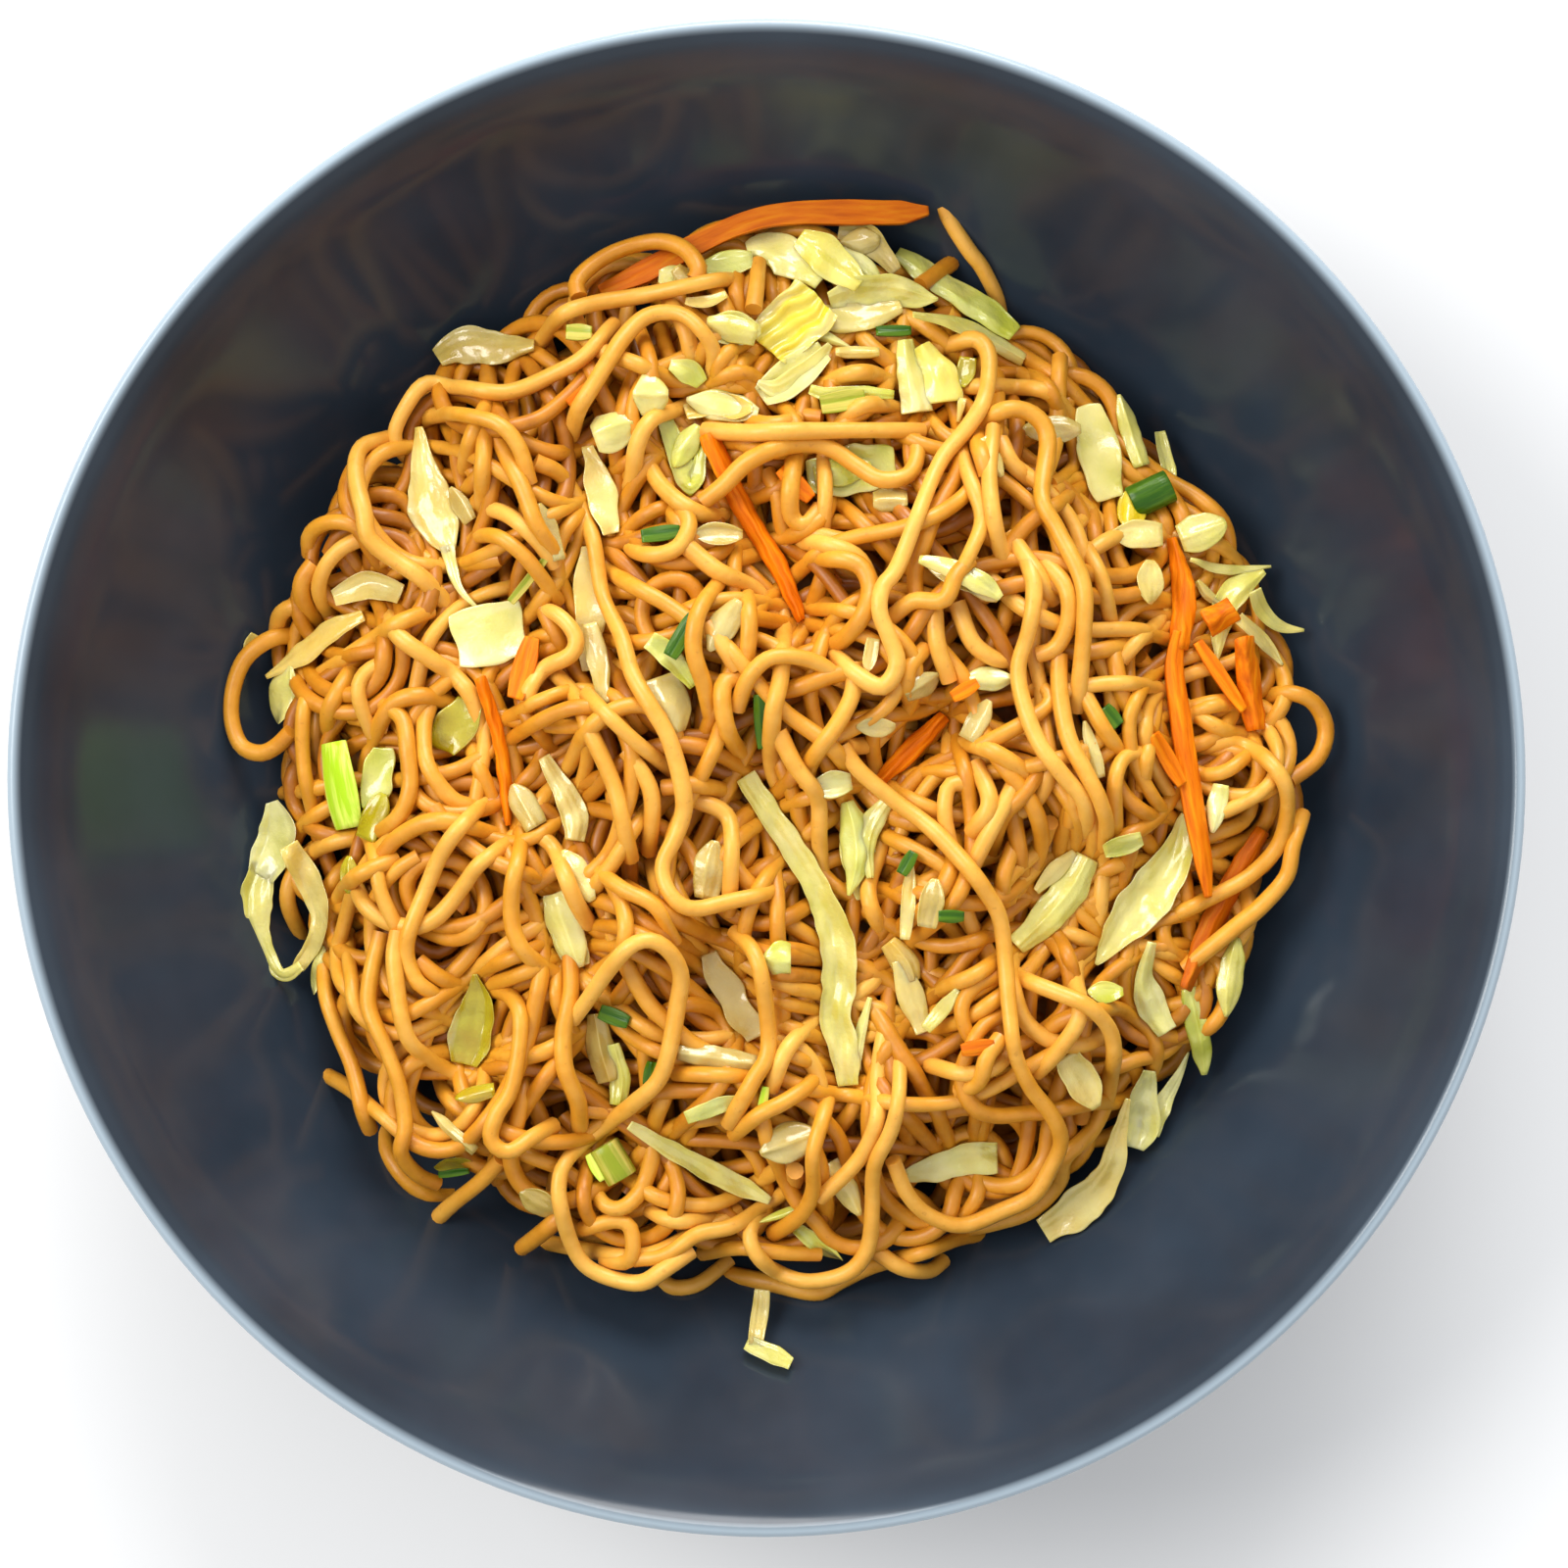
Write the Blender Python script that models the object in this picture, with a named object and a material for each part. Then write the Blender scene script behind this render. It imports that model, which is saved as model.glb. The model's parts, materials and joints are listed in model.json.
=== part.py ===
"""A deep bowl of fried noodles with cabbage, carrot and spring onion, in metres with +Z up.

The origin is on the table under the middle of the bowl. The bowl is turned from one profile. The heap is a
domed core with the noodles that show fused on it. Each large piece of vegetable is a thin solid laid over the
core, the bowl's wall and the pieces under it, so that it follows what carries it and cuts through nothing.
"""

import functools
import math
import random

import bmesh
import bpy
import numpy as np
from mathutils import Matrix, Vector
from mathutils.bvhtree import BVHTree

MM = 0.001

# The bowl, turned about Z.
RIM_RADIUS = 0.125
LIP_RADIUS = 0.0012
FLOOR_HEIGHT = 0.008
FLOOR_RADIUS = 0.030
BELLY_RADIUS = 0.114
BELLY_SLOPE = math.radians(58)
RIM_SLOPE = math.radians(48)
WALL_AT_LIP = 2 * LIP_RADIUS
WALL_AT_FOOT = 0.0034
FOOT_RADIUS = 0.049
FOOT_WIDTH = 0.0045
FOOT_HOLLOW = 0.0035
FOOT_ROUND = 0.0008
BOWL_SEGMENTS = 48
BELLY_STEPS = 7
FLARE_STEPS = 2
LIP_STEPS = 3
BELLY_BEND = (BELLY_RADIUS - FLOOR_RADIUS) / math.sin(BELLY_SLOPE)

# The heap's bare core.
CORE_MIDDLE = (0.0015, 0.0040)
CORE_RADIUS = 0.0885
CORE_TOP = 0.0490
CORE_SHOULDER = 3.0
CORE_FALL = 0.7
CORE_GAP = 0.0007
CORE_SECTORS = 38
CORE_RINGS = (0.22, 0.42, 0.6, 0.75, 0.87, 0.95)
BED_RINGS = (0.3, 0.6, 0.84)
SWELL = 0.0012
SWELL_ACROSS = (0.0115, 0.0095)
# Each wave of the core's outline: how many round it, its size and where it starts.
OUTLINE_WAVES = ((3, 0.018, 0.6), (5, 0.012, -1.1))

# Noodles. A noodle's flatness is how near its few straight runs stay to its curve.
NOODLE_RADIUS = 0.0014
NOODLE_SEAT = 0.35 * NOODLE_RADIUS
NOODLE_STEP = 0.001
NOODLE_FLAT = 0.0004
SAG_RADIUS = 0.022
SETTLE_ROUNDS = 250
END_DROP = 0.7 * NOODLE_STEP
SHORTEST_NOODLE = 0.016
CROSSING = 2.2 * NOODLE_RADIUS
CROSSING_STEPS = round(2 * CROSSING / NOODLE_STEP)
STRAY_NOODLES = 20
STRAY_LENGTH = (0.055, 0.090)
STRAY_STEP = 0.004
STRAY_BEND = 0.22
TURN_BACK = 0.45
SEED = 11

# Vegetables, and the gaps that all the food keeps.
LEAF = 0.0011
CARROT = 0.0026
TUBE_SIDES = 10
UNEVEN_WIDTH = 0.08
BRIDGE_ROUNDS = 4
TOUCH_GAP = 0.0005
PASS_GAP = 0.0008

# Grid of heights seen from above.
GRID = 0.0005
HALF_GRID = int(RIM_RADIUS / GRID)
EMPTY = -1.0


def clear_scene():
    for old in list(bpy.data.objects):
        bpy.data.objects.remove(old)


def material(name, colour, roughness):
    made = bpy.data.materials.new(name)
    made.use_nodes = True
    shader = made.node_tree.nodes["Principled BSDF"]
    shader.inputs["Base Color"].default_value = (*colour, 1.0)
    shader.inputs["Roughness"].default_value = roughness
    shader.inputs["Metallic"].default_value = 0.0
    return made


def keep(bm, name, finish, sharp=math.radians(50)):
    """Makes an object of the mesh, with its faces out and its round stretches smooth."""
    bmesh.ops.recalc_face_normals(bm, faces=bm.faces)
    mesh = bpy.data.meshes.new(name)
    bm.to_mesh(mesh)
    bm.free()
    mesh.shade_smooth()
    mesh.set_sharp_from_angle(angle=sharp)
    mesh.materials.append(finish)
    made = bpy.data.objects.new(name, mesh)
    bpy.context.scene.collection.objects.link(made)
    return made


def spun(profile, steps):
    """A closed solid turned about Z from (radius, height) points that start and end on the axis."""
    bm = bmesh.new()
    verts = [bm.verts.new((radius, 0.0, height)) for radius, height in profile]
    edges = [bm.edges.new(pair) for pair in zip(verts, verts[1:])]
    bmesh.ops.spin(
        bm, geom=verts + edges, cent=(0, 0, 0), axis=(0, 0, 1), angle=2 * math.pi, steps=steps, use_merge=True
    )
    bmesh.ops.remove_doubles(bm, verts=bm.verts, dist=1e-6)
    return bm


def inner_line():
    """(radius, height, slope) up the inside of the bowl, from the edge of its floor to its lip."""
    line = []
    for step in range(BELLY_STEPS + 1):
        slope = BELLY_SLOPE * step / BELLY_STEPS
        rise = BELLY_BEND * (1 - math.cos(slope))
        line.append((FLOOR_RADIUS + BELLY_BEND * math.sin(slope), FLOOR_HEIGHT + rise, slope))
    lip_start = RIM_RADIUS - LIP_RADIUS * (1 + math.sin(RIM_SLOPE))
    run = (lip_start - BELLY_RADIUS) / FLARE_STEPS
    for step in range(FLARE_STEPS):
        radius, height, _ = line[-1]
        middle = BELLY_SLOPE + (RIM_SLOPE - BELLY_SLOPE) * (step + 0.5) / FLARE_STEPS
        slope = BELLY_SLOPE + (RIM_SLOPE - BELLY_SLOPE) * (step + 1) / FLARE_STEPS
        line.append((radius + run, height + run * math.tan(middle), slope))
    return line


def lip_line(radius, height):
    """The round lip, from the inner wall's last point over the top to the outer wall."""
    middle = (radius + LIP_RADIUS * math.sin(RIM_SLOPE), height - LIP_RADIUS * math.cos(RIM_SLOPE))
    turns = [RIM_SLOPE + math.pi / 2 - math.pi * step / LIP_STEPS for step in range(1, LIP_STEPS + 1)]
    return [(middle[0] + LIP_RADIUS * math.cos(a), middle[1] + LIP_RADIUS * math.sin(a)) for a in turns]


def outer_line(inner):
    """The outside of the wall, from below the lip to the foot, thicker towards the foot."""
    line = []
    top = inner[-1][1]
    for radius, height, slope in reversed(inner[:-1]):
        wall = WALL_AT_FOOT + (WALL_AT_LIP - WALL_AT_FOOT) * (height - FLOOR_HEIGHT) / (top - FLOOR_HEIGHT)
        line.append((radius + wall * math.sin(slope), height - wall * math.cos(slope)))
    slope = math.asin((FOOT_RADIUS - FLOOR_RADIUS) / BELLY_BEND)
    under = FLOOR_HEIGHT + BELLY_BEND * (1 - math.cos(slope)) - WALL_AT_FOOT
    return [point for point in line if point[0] > FOOT_RADIUS + 2 * FOOT_WIDTH] + [(FOOT_RADIUS, under)]


def make_bowl(finish):
    inner = inner_line()
    sole = FOOT_RADIUS - FOOT_WIDTH
    foot = [
        (FOOT_RADIUS - FOOT_ROUND / 2, FOOT_ROUND),
        (FOOT_RADIUS - 2 * FOOT_ROUND, 0.0),
        (sole, 0.0),
        (sole - FOOT_ROUND, FOOT_HOLLOW),
        (0.0, FOOT_HOLLOW),
    ]
    wall = [(radius, height) for radius, height, _ in inner]
    profile = [(0.0, FLOOR_HEIGHT)] + wall + lip_line(*wall[-1]) + outer_line(inner) + foot
    keep(spun(profile, BOWL_SEGMENTS), "bowl", finish)


INNER_RADII, INNER_HEIGHTS = np.array([(0.0, FLOOR_HEIGHT)] + [point[:2] for point in inner_line()]).T


def wall_height(radius):
    """The inside of the bowl at this radius, no lower than the flat facets between two of its segments."""
    return np.interp(radius / math.cos(math.pi / BOWL_SEGMENTS), INNER_RADII, INNER_HEIGHTS)


def wall_clear(radius, gap):
    """The height that is clear of the bowl's wall by this gap, measured square to the wall."""
    rise = (wall_height(radius + MM) - wall_height(radius)) / MM
    return wall_height(radius) + gap * math.hypot(1.0, rise)


class Ground:
    """The top of some of the food, as heights on a square grid."""

    def __init__(self):
        side = 2 * HALF_GRID + 1
        self.height = np.full((side, side), EMPTY)

    def add(self, bm):
        tree = BVHTree.FromBMesh(bm)
        corners = np.array([vert.co[:2] for vert in bm.verts])
        low = np.floor(corners.min(axis=0) / GRID).astype(int) + HALF_GRID
        high = np.ceil(corners.max(axis=0) / GRID).astype(int) + HALF_GRID
        for i in range(low[0], high[0] + 1):
            for j in range(low[1], high[1] + 1):
                above = Vector(((i - HALF_GRID) * GRID, (j - HALF_GRID) * GRID, 2 * CORE_TOP))
                hit = tree.ray_cast(above, Vector((0, 0, -1)))[0]
                if hit:
                    self.height[i, j] = max(self.height[i, j], hit.z)

    def highest(self, x, y, reach):
        """The highest point within this distance of a spot, or EMPTY."""
        i, j = round(x / GRID) + HALF_GRID, round(y / GRID) + HALF_GRID
        cells = max(1, math.ceil(reach / GRID))
        window = self.height[i - cells : i + cells + 1, j - cells : j + cells + 1]
        return window[disc(cells)].max()


@functools.lru_cache(maxsize=None)
def disc(cells):
    span = np.arange(-cells, cells + 1)
    return np.hypot(*np.meshgrid(span, span)) <= cells + 0.1


CORE, TUCKED, ON_TOP = Ground(), Ground(), Ground()


def smooth(points, spacing):
    """Evenly spaced points on the smooth curve through these points."""
    given = np.array(points, float)
    ends = 2 * given[:1] - given[1:2], 2 * given[-1:] - given[-2:-1]
    knots = np.vstack([ends[0], given, ends[1]])
    t = np.linspace(0, 1, 16, endpoint=False)[:, None]
    spans = [
        0.5 * (2 * b + (c - a) * t + (2 * a - 5 * b + 4 * c - d) * t**2 + (3 * b - a - 3 * c + d) * t**3)
        for a, b, c, d in zip(knots, knots[1:], knots[2:], knots[3:])
    ]
    fine = np.vstack([*spans, given[-1:]])
    reach = np.concatenate([[0.0], np.cumsum(np.linalg.norm(np.diff(fine, axis=0), axis=1))])
    marks = np.linspace(0, reach[-1], max(3, round(reach[-1] / spacing)) + 1)
    return np.column_stack([np.interp(marks, reach, axis) for axis in fine.T])


def core_spot(out, angle):
    """A spot of the core's plan, from 0 in its middle to 1 on its nearly round outline."""
    uneven = 1 + sum(size * math.cos(count * angle + start) for count, size, start in OUTLINE_WAVES)
    radius = out * CORE_RADIUS * uneven
    return CORE_MIDDLE[0] + radius * math.cos(angle), CORE_MIDDLE[1] + radius * math.sin(angle)


def core_swell(x, y):
    """Low uneven swells of the heap."""
    return SWELL * math.cos(x / SWELL_ACROSS[0] + 0.6) * math.cos(y / SWELL_ACROSS[1] - 0.8)


def make_core():
    """The domed core, with its underside following the bowl."""
    rings = [(0.0, 1.0)] + [(u, 1.0) for u in CORE_RINGS] + [(1.0, 0.0)]
    rings += [(u, -1.0) for u in reversed(BED_RINGS)] + [(0.0, -1.0)]
    bm = spun(rings, CORE_SECTORS)
    for vert in bm.verts:
        out, angle = math.hypot(vert.co.x, vert.co.y), math.atan2(vert.co.y, vert.co.x)
        on_dome = vert.co.z > 0.5
        x, y = core_spot(out, angle)
        height = wall_clear(math.hypot(x, y), CORE_GAP)
        if on_dome:
            edge = wall_clear(math.hypot(*core_spot(1.0, angle)), CORE_GAP)
            height = edge + (CORE_TOP - edge) * (1 - out**CORE_SHOULDER) ** CORE_FALL
            height += core_swell(x, y) * (1 - out**4)
        vert.co = (x, y, height)
    return bm


def support(x, y, reach, gap):
    """The lowest height at which a sheet may lie at a spot."""
    food = max(ground.highest(x, y, reach) for ground in (CORE, TUCKED, ON_TOP)) + gap
    return max(food, wall_clear(math.hypot(x, y), gap))


def laid_heights(spots, reach, lift):
    """Heights of a grid of spots laid on the food: it rests on what is under it and bridges small dips."""
    lowest = [support(*spot, reach, TOUCH_GAP) for spot in spots.reshape(-1, 2)]
    floor = np.array(lowest).reshape(spots.shape[:2]) + lift
    height = floor.copy()
    for _ in range(BRIDGE_ROUNDS):
        around = np.pad(height, 1, mode="edge")
        mean = (around[:-2, 1:-1] + around[2:, 1:-1] + around[1:-1, :-2] + around[1:-1, 2:]) / 4
        height = np.maximum(floor, mean)
    return height


def lay_sheet(name, finish, path, width, on_top=True, ends=(0.6, 0.6), thick=LEAF, ruffle=1.0, crown=0.0,
              facet=3.4, across=2, lift=0.0):
    """Lays a leaf, shred or stick along a path given in millimetres.

    ends are its relative widths at the two ends, ruffle is how far its long edges wave up, and crown is how
    much thinner it is at its edges.
    """
    line = smooth(np.array(path) * MM, facet * MM)
    along = len(line) - 1
    ahead = np.gradient(line, axis=0)
    sideways = ahead[:, ::-1] * (-1, 1) / np.linalg.norm(ahead, axis=1)[:, None]
    t = np.linspace(0, 1, along + 1)
    end = np.where(t < 0.5, *ends)
    draw = random.Random(name)
    uneven = np.array([1 + draw.uniform(-UNEVEN_WIDTH, UNEVEN_WIDTH) for _ in t])
    half = width * MM / 2 * (end + (1 - end) * np.sqrt(np.sin(math.pi * t).clip(0))) * uneven
    rows = np.linspace(-1, 1, across + 1)
    spots = line[:, None] + sideways[:, None] * (half[:, None] * rows)[..., None]
    heights = laid_heights(spots, 0.55 * max(facet, width / across) * MM, lift * MM)
    wave = np.sin(t * len(t) * 1.9 + draw.uniform(0, 6))[:, None] * np.sign(rows)
    heights += ruffle * MM * np.abs(rows) * (0.5 + 0.5 * wave)
    bm = bmesh.new()
    bmesh.ops.create_grid(bm, x_segments=along, y_segments=across, size=0.5)
    bmesh.ops.triangulate(bm, faces=bm.faces)
    outward = bm.verts.layers.float.new("outward")
    for vert in bm.verts:
        step, row = round((vert.co.x + 0.5) * along), round((vert.co.y + 0.5) * across)
        vert[outward] = rows[row]
        vert.co = (*spots[step, row], heights[step, row])
    raised = bmesh.ops.extrude_face_region(bm, geom=list(bm.faces))["geom"]
    for vert in (item for item in raised if isinstance(item, bmesh.types.BMVert)):
        vert.co.z += thick * (1 - crown * vert[outward] ** 2)
    (ON_TOP if on_top else TUCKED).add(bm)
    keep(bm, name, finish)


def straight(x, y, turn, length):
    """The path of a straight piece from its middle, its heading in degrees and its length."""
    half = Vector((length / 2, 0)) @ Matrix.Rotation(-math.radians(turn), 2)
    return [(x - half.x, y - half.y), (x, y), (x + half.x, y + half.y)]


def lay_tube(name, finish, x, y, turn, length, width, height, wall=0.9):
    """Lays a short hollow tube of onion on its side."""
    bm = bmesh.new()
    outer, inner = width / 2, width / 2 - wall
    section = [(-length / 2, outer), (length / 2, outer), (length / 2, inner), (-length / 2, inner)]
    ring = [bm.verts.new((along * MM, 0, out * MM)) for along, out in section]
    edges = [bm.edges.new(pair) for pair in zip(ring, ring[1:] + ring[:1])]
    full_turn = {"cent": (0, 0, 0), "axis": (1, 0, 0), "angle": 2 * math.pi, "use_merge": True}
    bmesh.ops.spin(bm, geom=ring + edges, steps=TUBE_SIDES, **full_turn)
    bmesh.ops.remove_doubles(bm, verts=bm.verts, dist=1e-6)
    squash = Matrix.Diagonal((1, 1, height / width, 1))
    base = support(x * MM, y * MM, max(length, width) / 2 * MM, TOUCH_GAP)
    place = Matrix.Translation((x * MM, y * MM, base + height / 2 * MM))
    heading = Matrix.Rotation(math.radians(turn), 4, "Z")
    bmesh.ops.transform(bm, matrix=place @ heading @ squash, verts=bm.verts)
    ON_TOP.add(bm)
    keep(bm, name, finish)


def lay_cabbage(pale, green, yellow):
    """Cabbage, from the pieces deepest in the heap to those on top of it, in millimetres."""
    tucked = functools.partial(lay_sheet, on_top=False)
    tucked("cabbage_crown_right", pale, straight(11.5, 88.8, -35, 11.5), 8.6)
    tucked("cabbage_top_green", green, straight(33.5, 84, -35, 21), 7, ends=(0.5, 0.8))
    tucked("cabbage_mid_top", green, straight(14.3, 52, 10, 15), 8.5)
    tucked("cabbage_loop", green, [(-18.5, 57), (-15.5, 48.5), (-11.5, 56.5)], 3.4)
    tucked("cabbage_mid_left", pale, straight(-30, 28.7, -90, 21), 5)
    tucked("cabbage_star", pale, straight(-16, 19, 75, 10), 8)
    tucked("cabbage_left_inner", green, straight(-52.7, 8.8, 60, 9.5), 7.5)
    tucked("cabbage_left_green", green, straight(-66.3, 0, 80, 10.5), 6)
    tucked("cabbage_low_left", pale, straight(-33.8, -25.8, -70, 13.5), 5.6)
    tucked("cabbage_low_green", green, straight(-26, -49, -70, 20), 7.4)
    tucked("cabbage_low_mid", pale, straight(-6, -36.8, -60, 16.5), 4.8)
    tucked("cabbage_fold", pale, straight(15.5, -13.5, -80, 14), 6)
    tucked("cabbage_right_inner", pale, [(55, -12.6), (49, -20), (42, -30)], 9, ends=(0.5, 0.4), across=3)
    tucked("cabbage_left_fold", yellow, straight(-67, 33, 15, 12), 6)
    tucked("cabbage_left_strip", pale, [(-76.5, -15), (-78.5, -23), (-79, -32)], 4, ends=(0.7, 0.5))
    lay_sheet("cabbage_top_left", pale, straight(-49, 74.5, -10, 17), 6, ruffle=1.6)
    lay_sheet("cabbage_teardrop", pale, straight(-57.3, 48, -78, 21), 9.4, ends=(0.12, 0.8), across=3)
    lay_sheet("cabbage_upper_left", pale, straight(-28.2, 48.7, -75, 15.7), 5.3)
    lay_sheet("cabbage_crown", yellow, straight(0.7, 89.5, -25, 11), 7.4)
    lay_sheet("cabbage_upper_right", pale, straight(20, 81, 5, 18), 7, ruffle=1.6)
    lay_sheet("cabbage_yellow", yellow, straight(4.4, 77.2, 45, 12.4), 10.5, ends=(0.85, 0.85), ruffle=1.8,
              across=3)
    lay_sheet("cabbage_upper_mid", pale, straight(4.4, 67.6, 35, 13), 6)
    lay_sheet("cabbage_thick", yellow, straight(27.5, 66, -80, 12.5), 9, ends=(0.7, 0.9), thick=0.0022)
    lay_sheet("cabbage_upper_green", green, straight(-8.5, 64, 15, 12.4), 5)
    lay_sheet("cabbage_right_top", pale, straight(56.7, 55.6, -78, 16.5), 7.5)
    lay_sheet("cabbage_left_shred", pale, [(-71, 26), (-79, 24), (-87.5, 18)], 5.4, ends=(0.7, 0.4))
    lay_sheet("cabbage_square", pale, straight(-47, 24.3, 12, 12), 10.5, ends=(0.9, 0.9), across=3)
    lay_sheet("cabbage_left_edge", pale, straight(-84.7, -7.4, 70, 11), 8.6, ends=(0.8, 0.4), across=3)
    lay_sheet("cabbage_mid_shred", pale, straight(-34, -4, -60, 15.7), 6.6, ends=(0.4, 0.8))
    long_shred = [(-3.4, -0.8), (4.5, -14.5), (10.5, -28), (11.5, -41), (14.3, -52)]
    lay_sheet("cabbage_long_shred", pale, long_shred, 5, ends=(0.7, 0.6), facet=4.6)
    lay_sheet("cabbage_right_leaf", yellow, straight(80.5, 33, 60, 15), 10, ends=(0.4, 0.6), ruffle=1.8,
              across=3)
    lay_sheet("cabbage_right_tips", yellow, straight(89, 27, -15, 13), 6, ends=(0.9, 0.15), ruffle=1.6)
    lay_sheet("cabbage_leaf_right", pale, [(69, -7), (65, -18), (57, -32)], 9.5, ends=(0.5, 0.25), across=3)
    lay_sheet("cabbage_green_leaf", green, straight(-50.2, -41.6, 80, 15), 7.5, ends=(0.5, 0.25))
    lay_sheet("cabbage_low_shred", pale, [(-22, -59), (-11, -66), (0.4, -71)], 3.7, ends=(0.4, 0.7))
    lay_sheet("cabbage_low_curl", pale, [(22, -28), (27, -34), (24.5, -38), (28, -43.5)], 4.6, facet=4.0)
    lay_sheet("cabbage_low_right", pale, straight(31.3, -66.2, 15, 15.7), 5.6)
    lay_sheet("cabbage_spoon", pale, straight(65.5, -36, -80, 12), 6.2, ends=(0.8, 0.4))
    lay_sheet("cabbage_bulb", green, [(61.5, -63), (66.5, -57), (73, -46)], 7.4, ends=(0.7, 0.15), facet=4.0)
    lay_sheet("cabbage_right_low", pale, [(62, -53), (57, -66), (47, -79)], 9.5, ends=(0.15, 0.7), facet=4.2)
    loose_shred = [(-1.3, -91), (-2.2, -98.5), (0, -101.5), (4, -102.5)]
    lay_sheet("cabbage_loose_shred", pale, loose_shred, 3, facet=4.0)


def lay_carrots(finish):
    stick = functools.partial(lay_sheet, thick=CARROT, ruffle=0.0, crown=0.55, facet=5.0)
    stick("carrot_right_low", finish, [(85, -9), (77, -23), (71.5, -36)], 4.2, on_top=False)
    stick("carrot_top_arc", finish, [(-28, 83.5), (-14, 90.5), (1, 96.5), (15, 98.5), (28, 98)], 4.4,
          on_top=False, ends=(0.7, 0.45), facet=6.5)
    stick("carrot_middle", finish, straight(24, 4.5, 45, 17), 3.6, on_top=False, ends=(0.5, 0.6))
    stick("carrot_centre", finish, [(-10, 58), (-3.7, 45), (1.3, 37), (6, 26.5)], 3.6, ends=(0.9, 0.4))
    stick("carrot_left", finish, [(-48.5, 17), (-45, 5.6), (-43.7, -8)], 2.6, ends=(0.8, 0.4), thick=0.002)
    stick("carrot_right_upper", finish, [(69, 41), (71.2, 32), (70, 22)], 4, ends=(0.4, 0.8))
    stick("carrot_right_long", finish, [(68.7, 18), (70.7, 6), (74, -21)], 4.1, ends=(0.5, 0.7))
    stick("carrot_block", finish, straight(77, 27.5, 30, 5.6), 4.8, ends=(0.95, 0.95), thick=0.003, facet=3.0)
    stick("carrot_right_short", finish, straight(82.3, 16, -80, 16), 4.6, ends=(0.8, 0.8))


def lay_onions(dark, bright):
    lay_tube("onion_dark", dark, 65.5, 48.4, 25, 7.4, 6.2, 4.6)
    lay_tube("onion_low", bright, -26.3, -65.5, -60, 6.6, 6.0, 4.2)
    lay_sheet("onion_bright", bright, straight(-72.8, -1.2, -80, 15), 6, ends=(0.75, 0.85), thick=0.003,
              ruffle=0.0, crown=0.6, facet=4.0)


# The noodles whose shape stands out, each through its own bends, in millimetres.
KNOWN_NOODLES = {
    "diagonal": [
        (13, 5), (21, -4), (33, -14), (39, -25), (41, -38), (44, -52), (50, -62), (45, -71), (33, -76),
        (23, -68)
    ],
    "bottom_left_loop": [
        (-33, -41), (-26, -32), (-18, -27), (-15, -38), (-17, -49), (-27, -59), (-35, -69), (-31, -83),
        (-21, -86), (-13, -80)
    ],
    "centre_left": [(-39, 53), (-30, 42), (-24, 24), (-19, 12), (-14, -3), (-17, -15), (-12, -22), (1, -19)],
    "top_right_bend": [(30, 77), (38, 71), (34, 59), (27, 47), (19, 32), (22, 19), (15, 17), (11, 21)],
    "right_vertical": [(49, 21), (50, 7), (56, -4), (57, -10), (56, -28), (52, -40), (45, -50)],
    "big_curl": [(-34, 56), (-30, 65), (-24, 75), (-15, 79), (-9, 72), (-15, 63), (-22, 56), (-25, 46)],
    "bottom_arc": [(22, -46), (21, -59), (18, -73), (14, -84), (7, -86), (-3, -79)],
    "top_left_bend": [(-26, 77), (-36, 68), (-53, 67), (-62, 63), (-65, 56)],
    "left_bends": [(-65, 12), (-60, 4), (-62, -7), (-72, -10), (-81, -15), (-84, -25)],
    "lower_left_run": [(-62, -14), (-71, -21), (-74, -35), (-71, -50), (-68, -60)],
    "upper_left_fall": [(-68, 57), (-72, 50), (-67, 40), (-58, 34), (-52, 31)],
    "right_arc": [(77, 5), (85, 4), (90, -5), (86, -14), (78, -21)],
    "lower_left_fall": [(-65, -26), (-67, -39), (-62, -52), (-62, -64), (-55, -70)],
    "left_loop": [(-79, 29), (-90, 23), (-93, 11), (-87, 3), (-80, 7)],
    "top_left_loop": [(-32, 80), (-31, 88), (-20, 92), (-11, 85)],
    "right_loop": [(86, 14), (94, 13), (96, 6), (90, -1)],
    "top_strand": [(31, 101), (35, 91), (40, 81)],
}


def wander(start, heading, length, draw):
    """The plan of a noodle that bends to and fro and turns back before the heap's edge."""
    path, bend = [Vector(start)], draw.uniform(-STRAY_BEND, STRAY_BEND)
    for _ in range(round(length / STRAY_STEP)):
        spot = path[-1]
        bend = 0.75 * bend + draw.uniform(-STRAY_BEND, STRAY_BEND)
        inward = Vector(CORE_MIDDLE) - spot
        if inward.length > 0.92 * CORE_RADIUS:
            home = math.atan2(inward.y, inward.x) - heading
            bend = math.copysign(TURN_BACK, math.sin(home))
        heading += bend
        path.append(spot + STRAY_STEP * Vector((math.cos(heading), math.sin(heading))))
    return path


def stray_noodles():
    """Plans of further noodles, their starts spread evenly over the heap on a sunflower spiral."""
    draw = random.Random(SEED)
    for number in range(STRAY_NOODLES):
        out = 0.9 * CORE_RADIUS * math.sqrt((number + 0.5) / STRAY_NOODLES)
        angle = number * math.radians(137.5)
        start = (CORE_MIDDLE[0] + out * math.cos(angle), CORE_MIDDLE[1] + out * math.sin(angle))
        yield wander(start, angle + draw.uniform(1.2, 2.0), draw.uniform(*STRAY_LENGTH), draw)


def free_runs(line):
    """The stretches of a noodle's plan between the pieces on top, split where it crosses itself."""
    run = []
    for spot in line:
        blocked = ON_TOP.highest(*spot, NOODLE_RADIUS + PASS_GAP) > EMPTY
        crosses = any(math.dist(spot, old) < CROSSING for old in run[:-CROSSING_STEPS])
        if run and (blocked or crosses):
            yield np.array(run)
            run = []
        if not blocked:
            run.append(spot)
    yield np.array(run)


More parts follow.
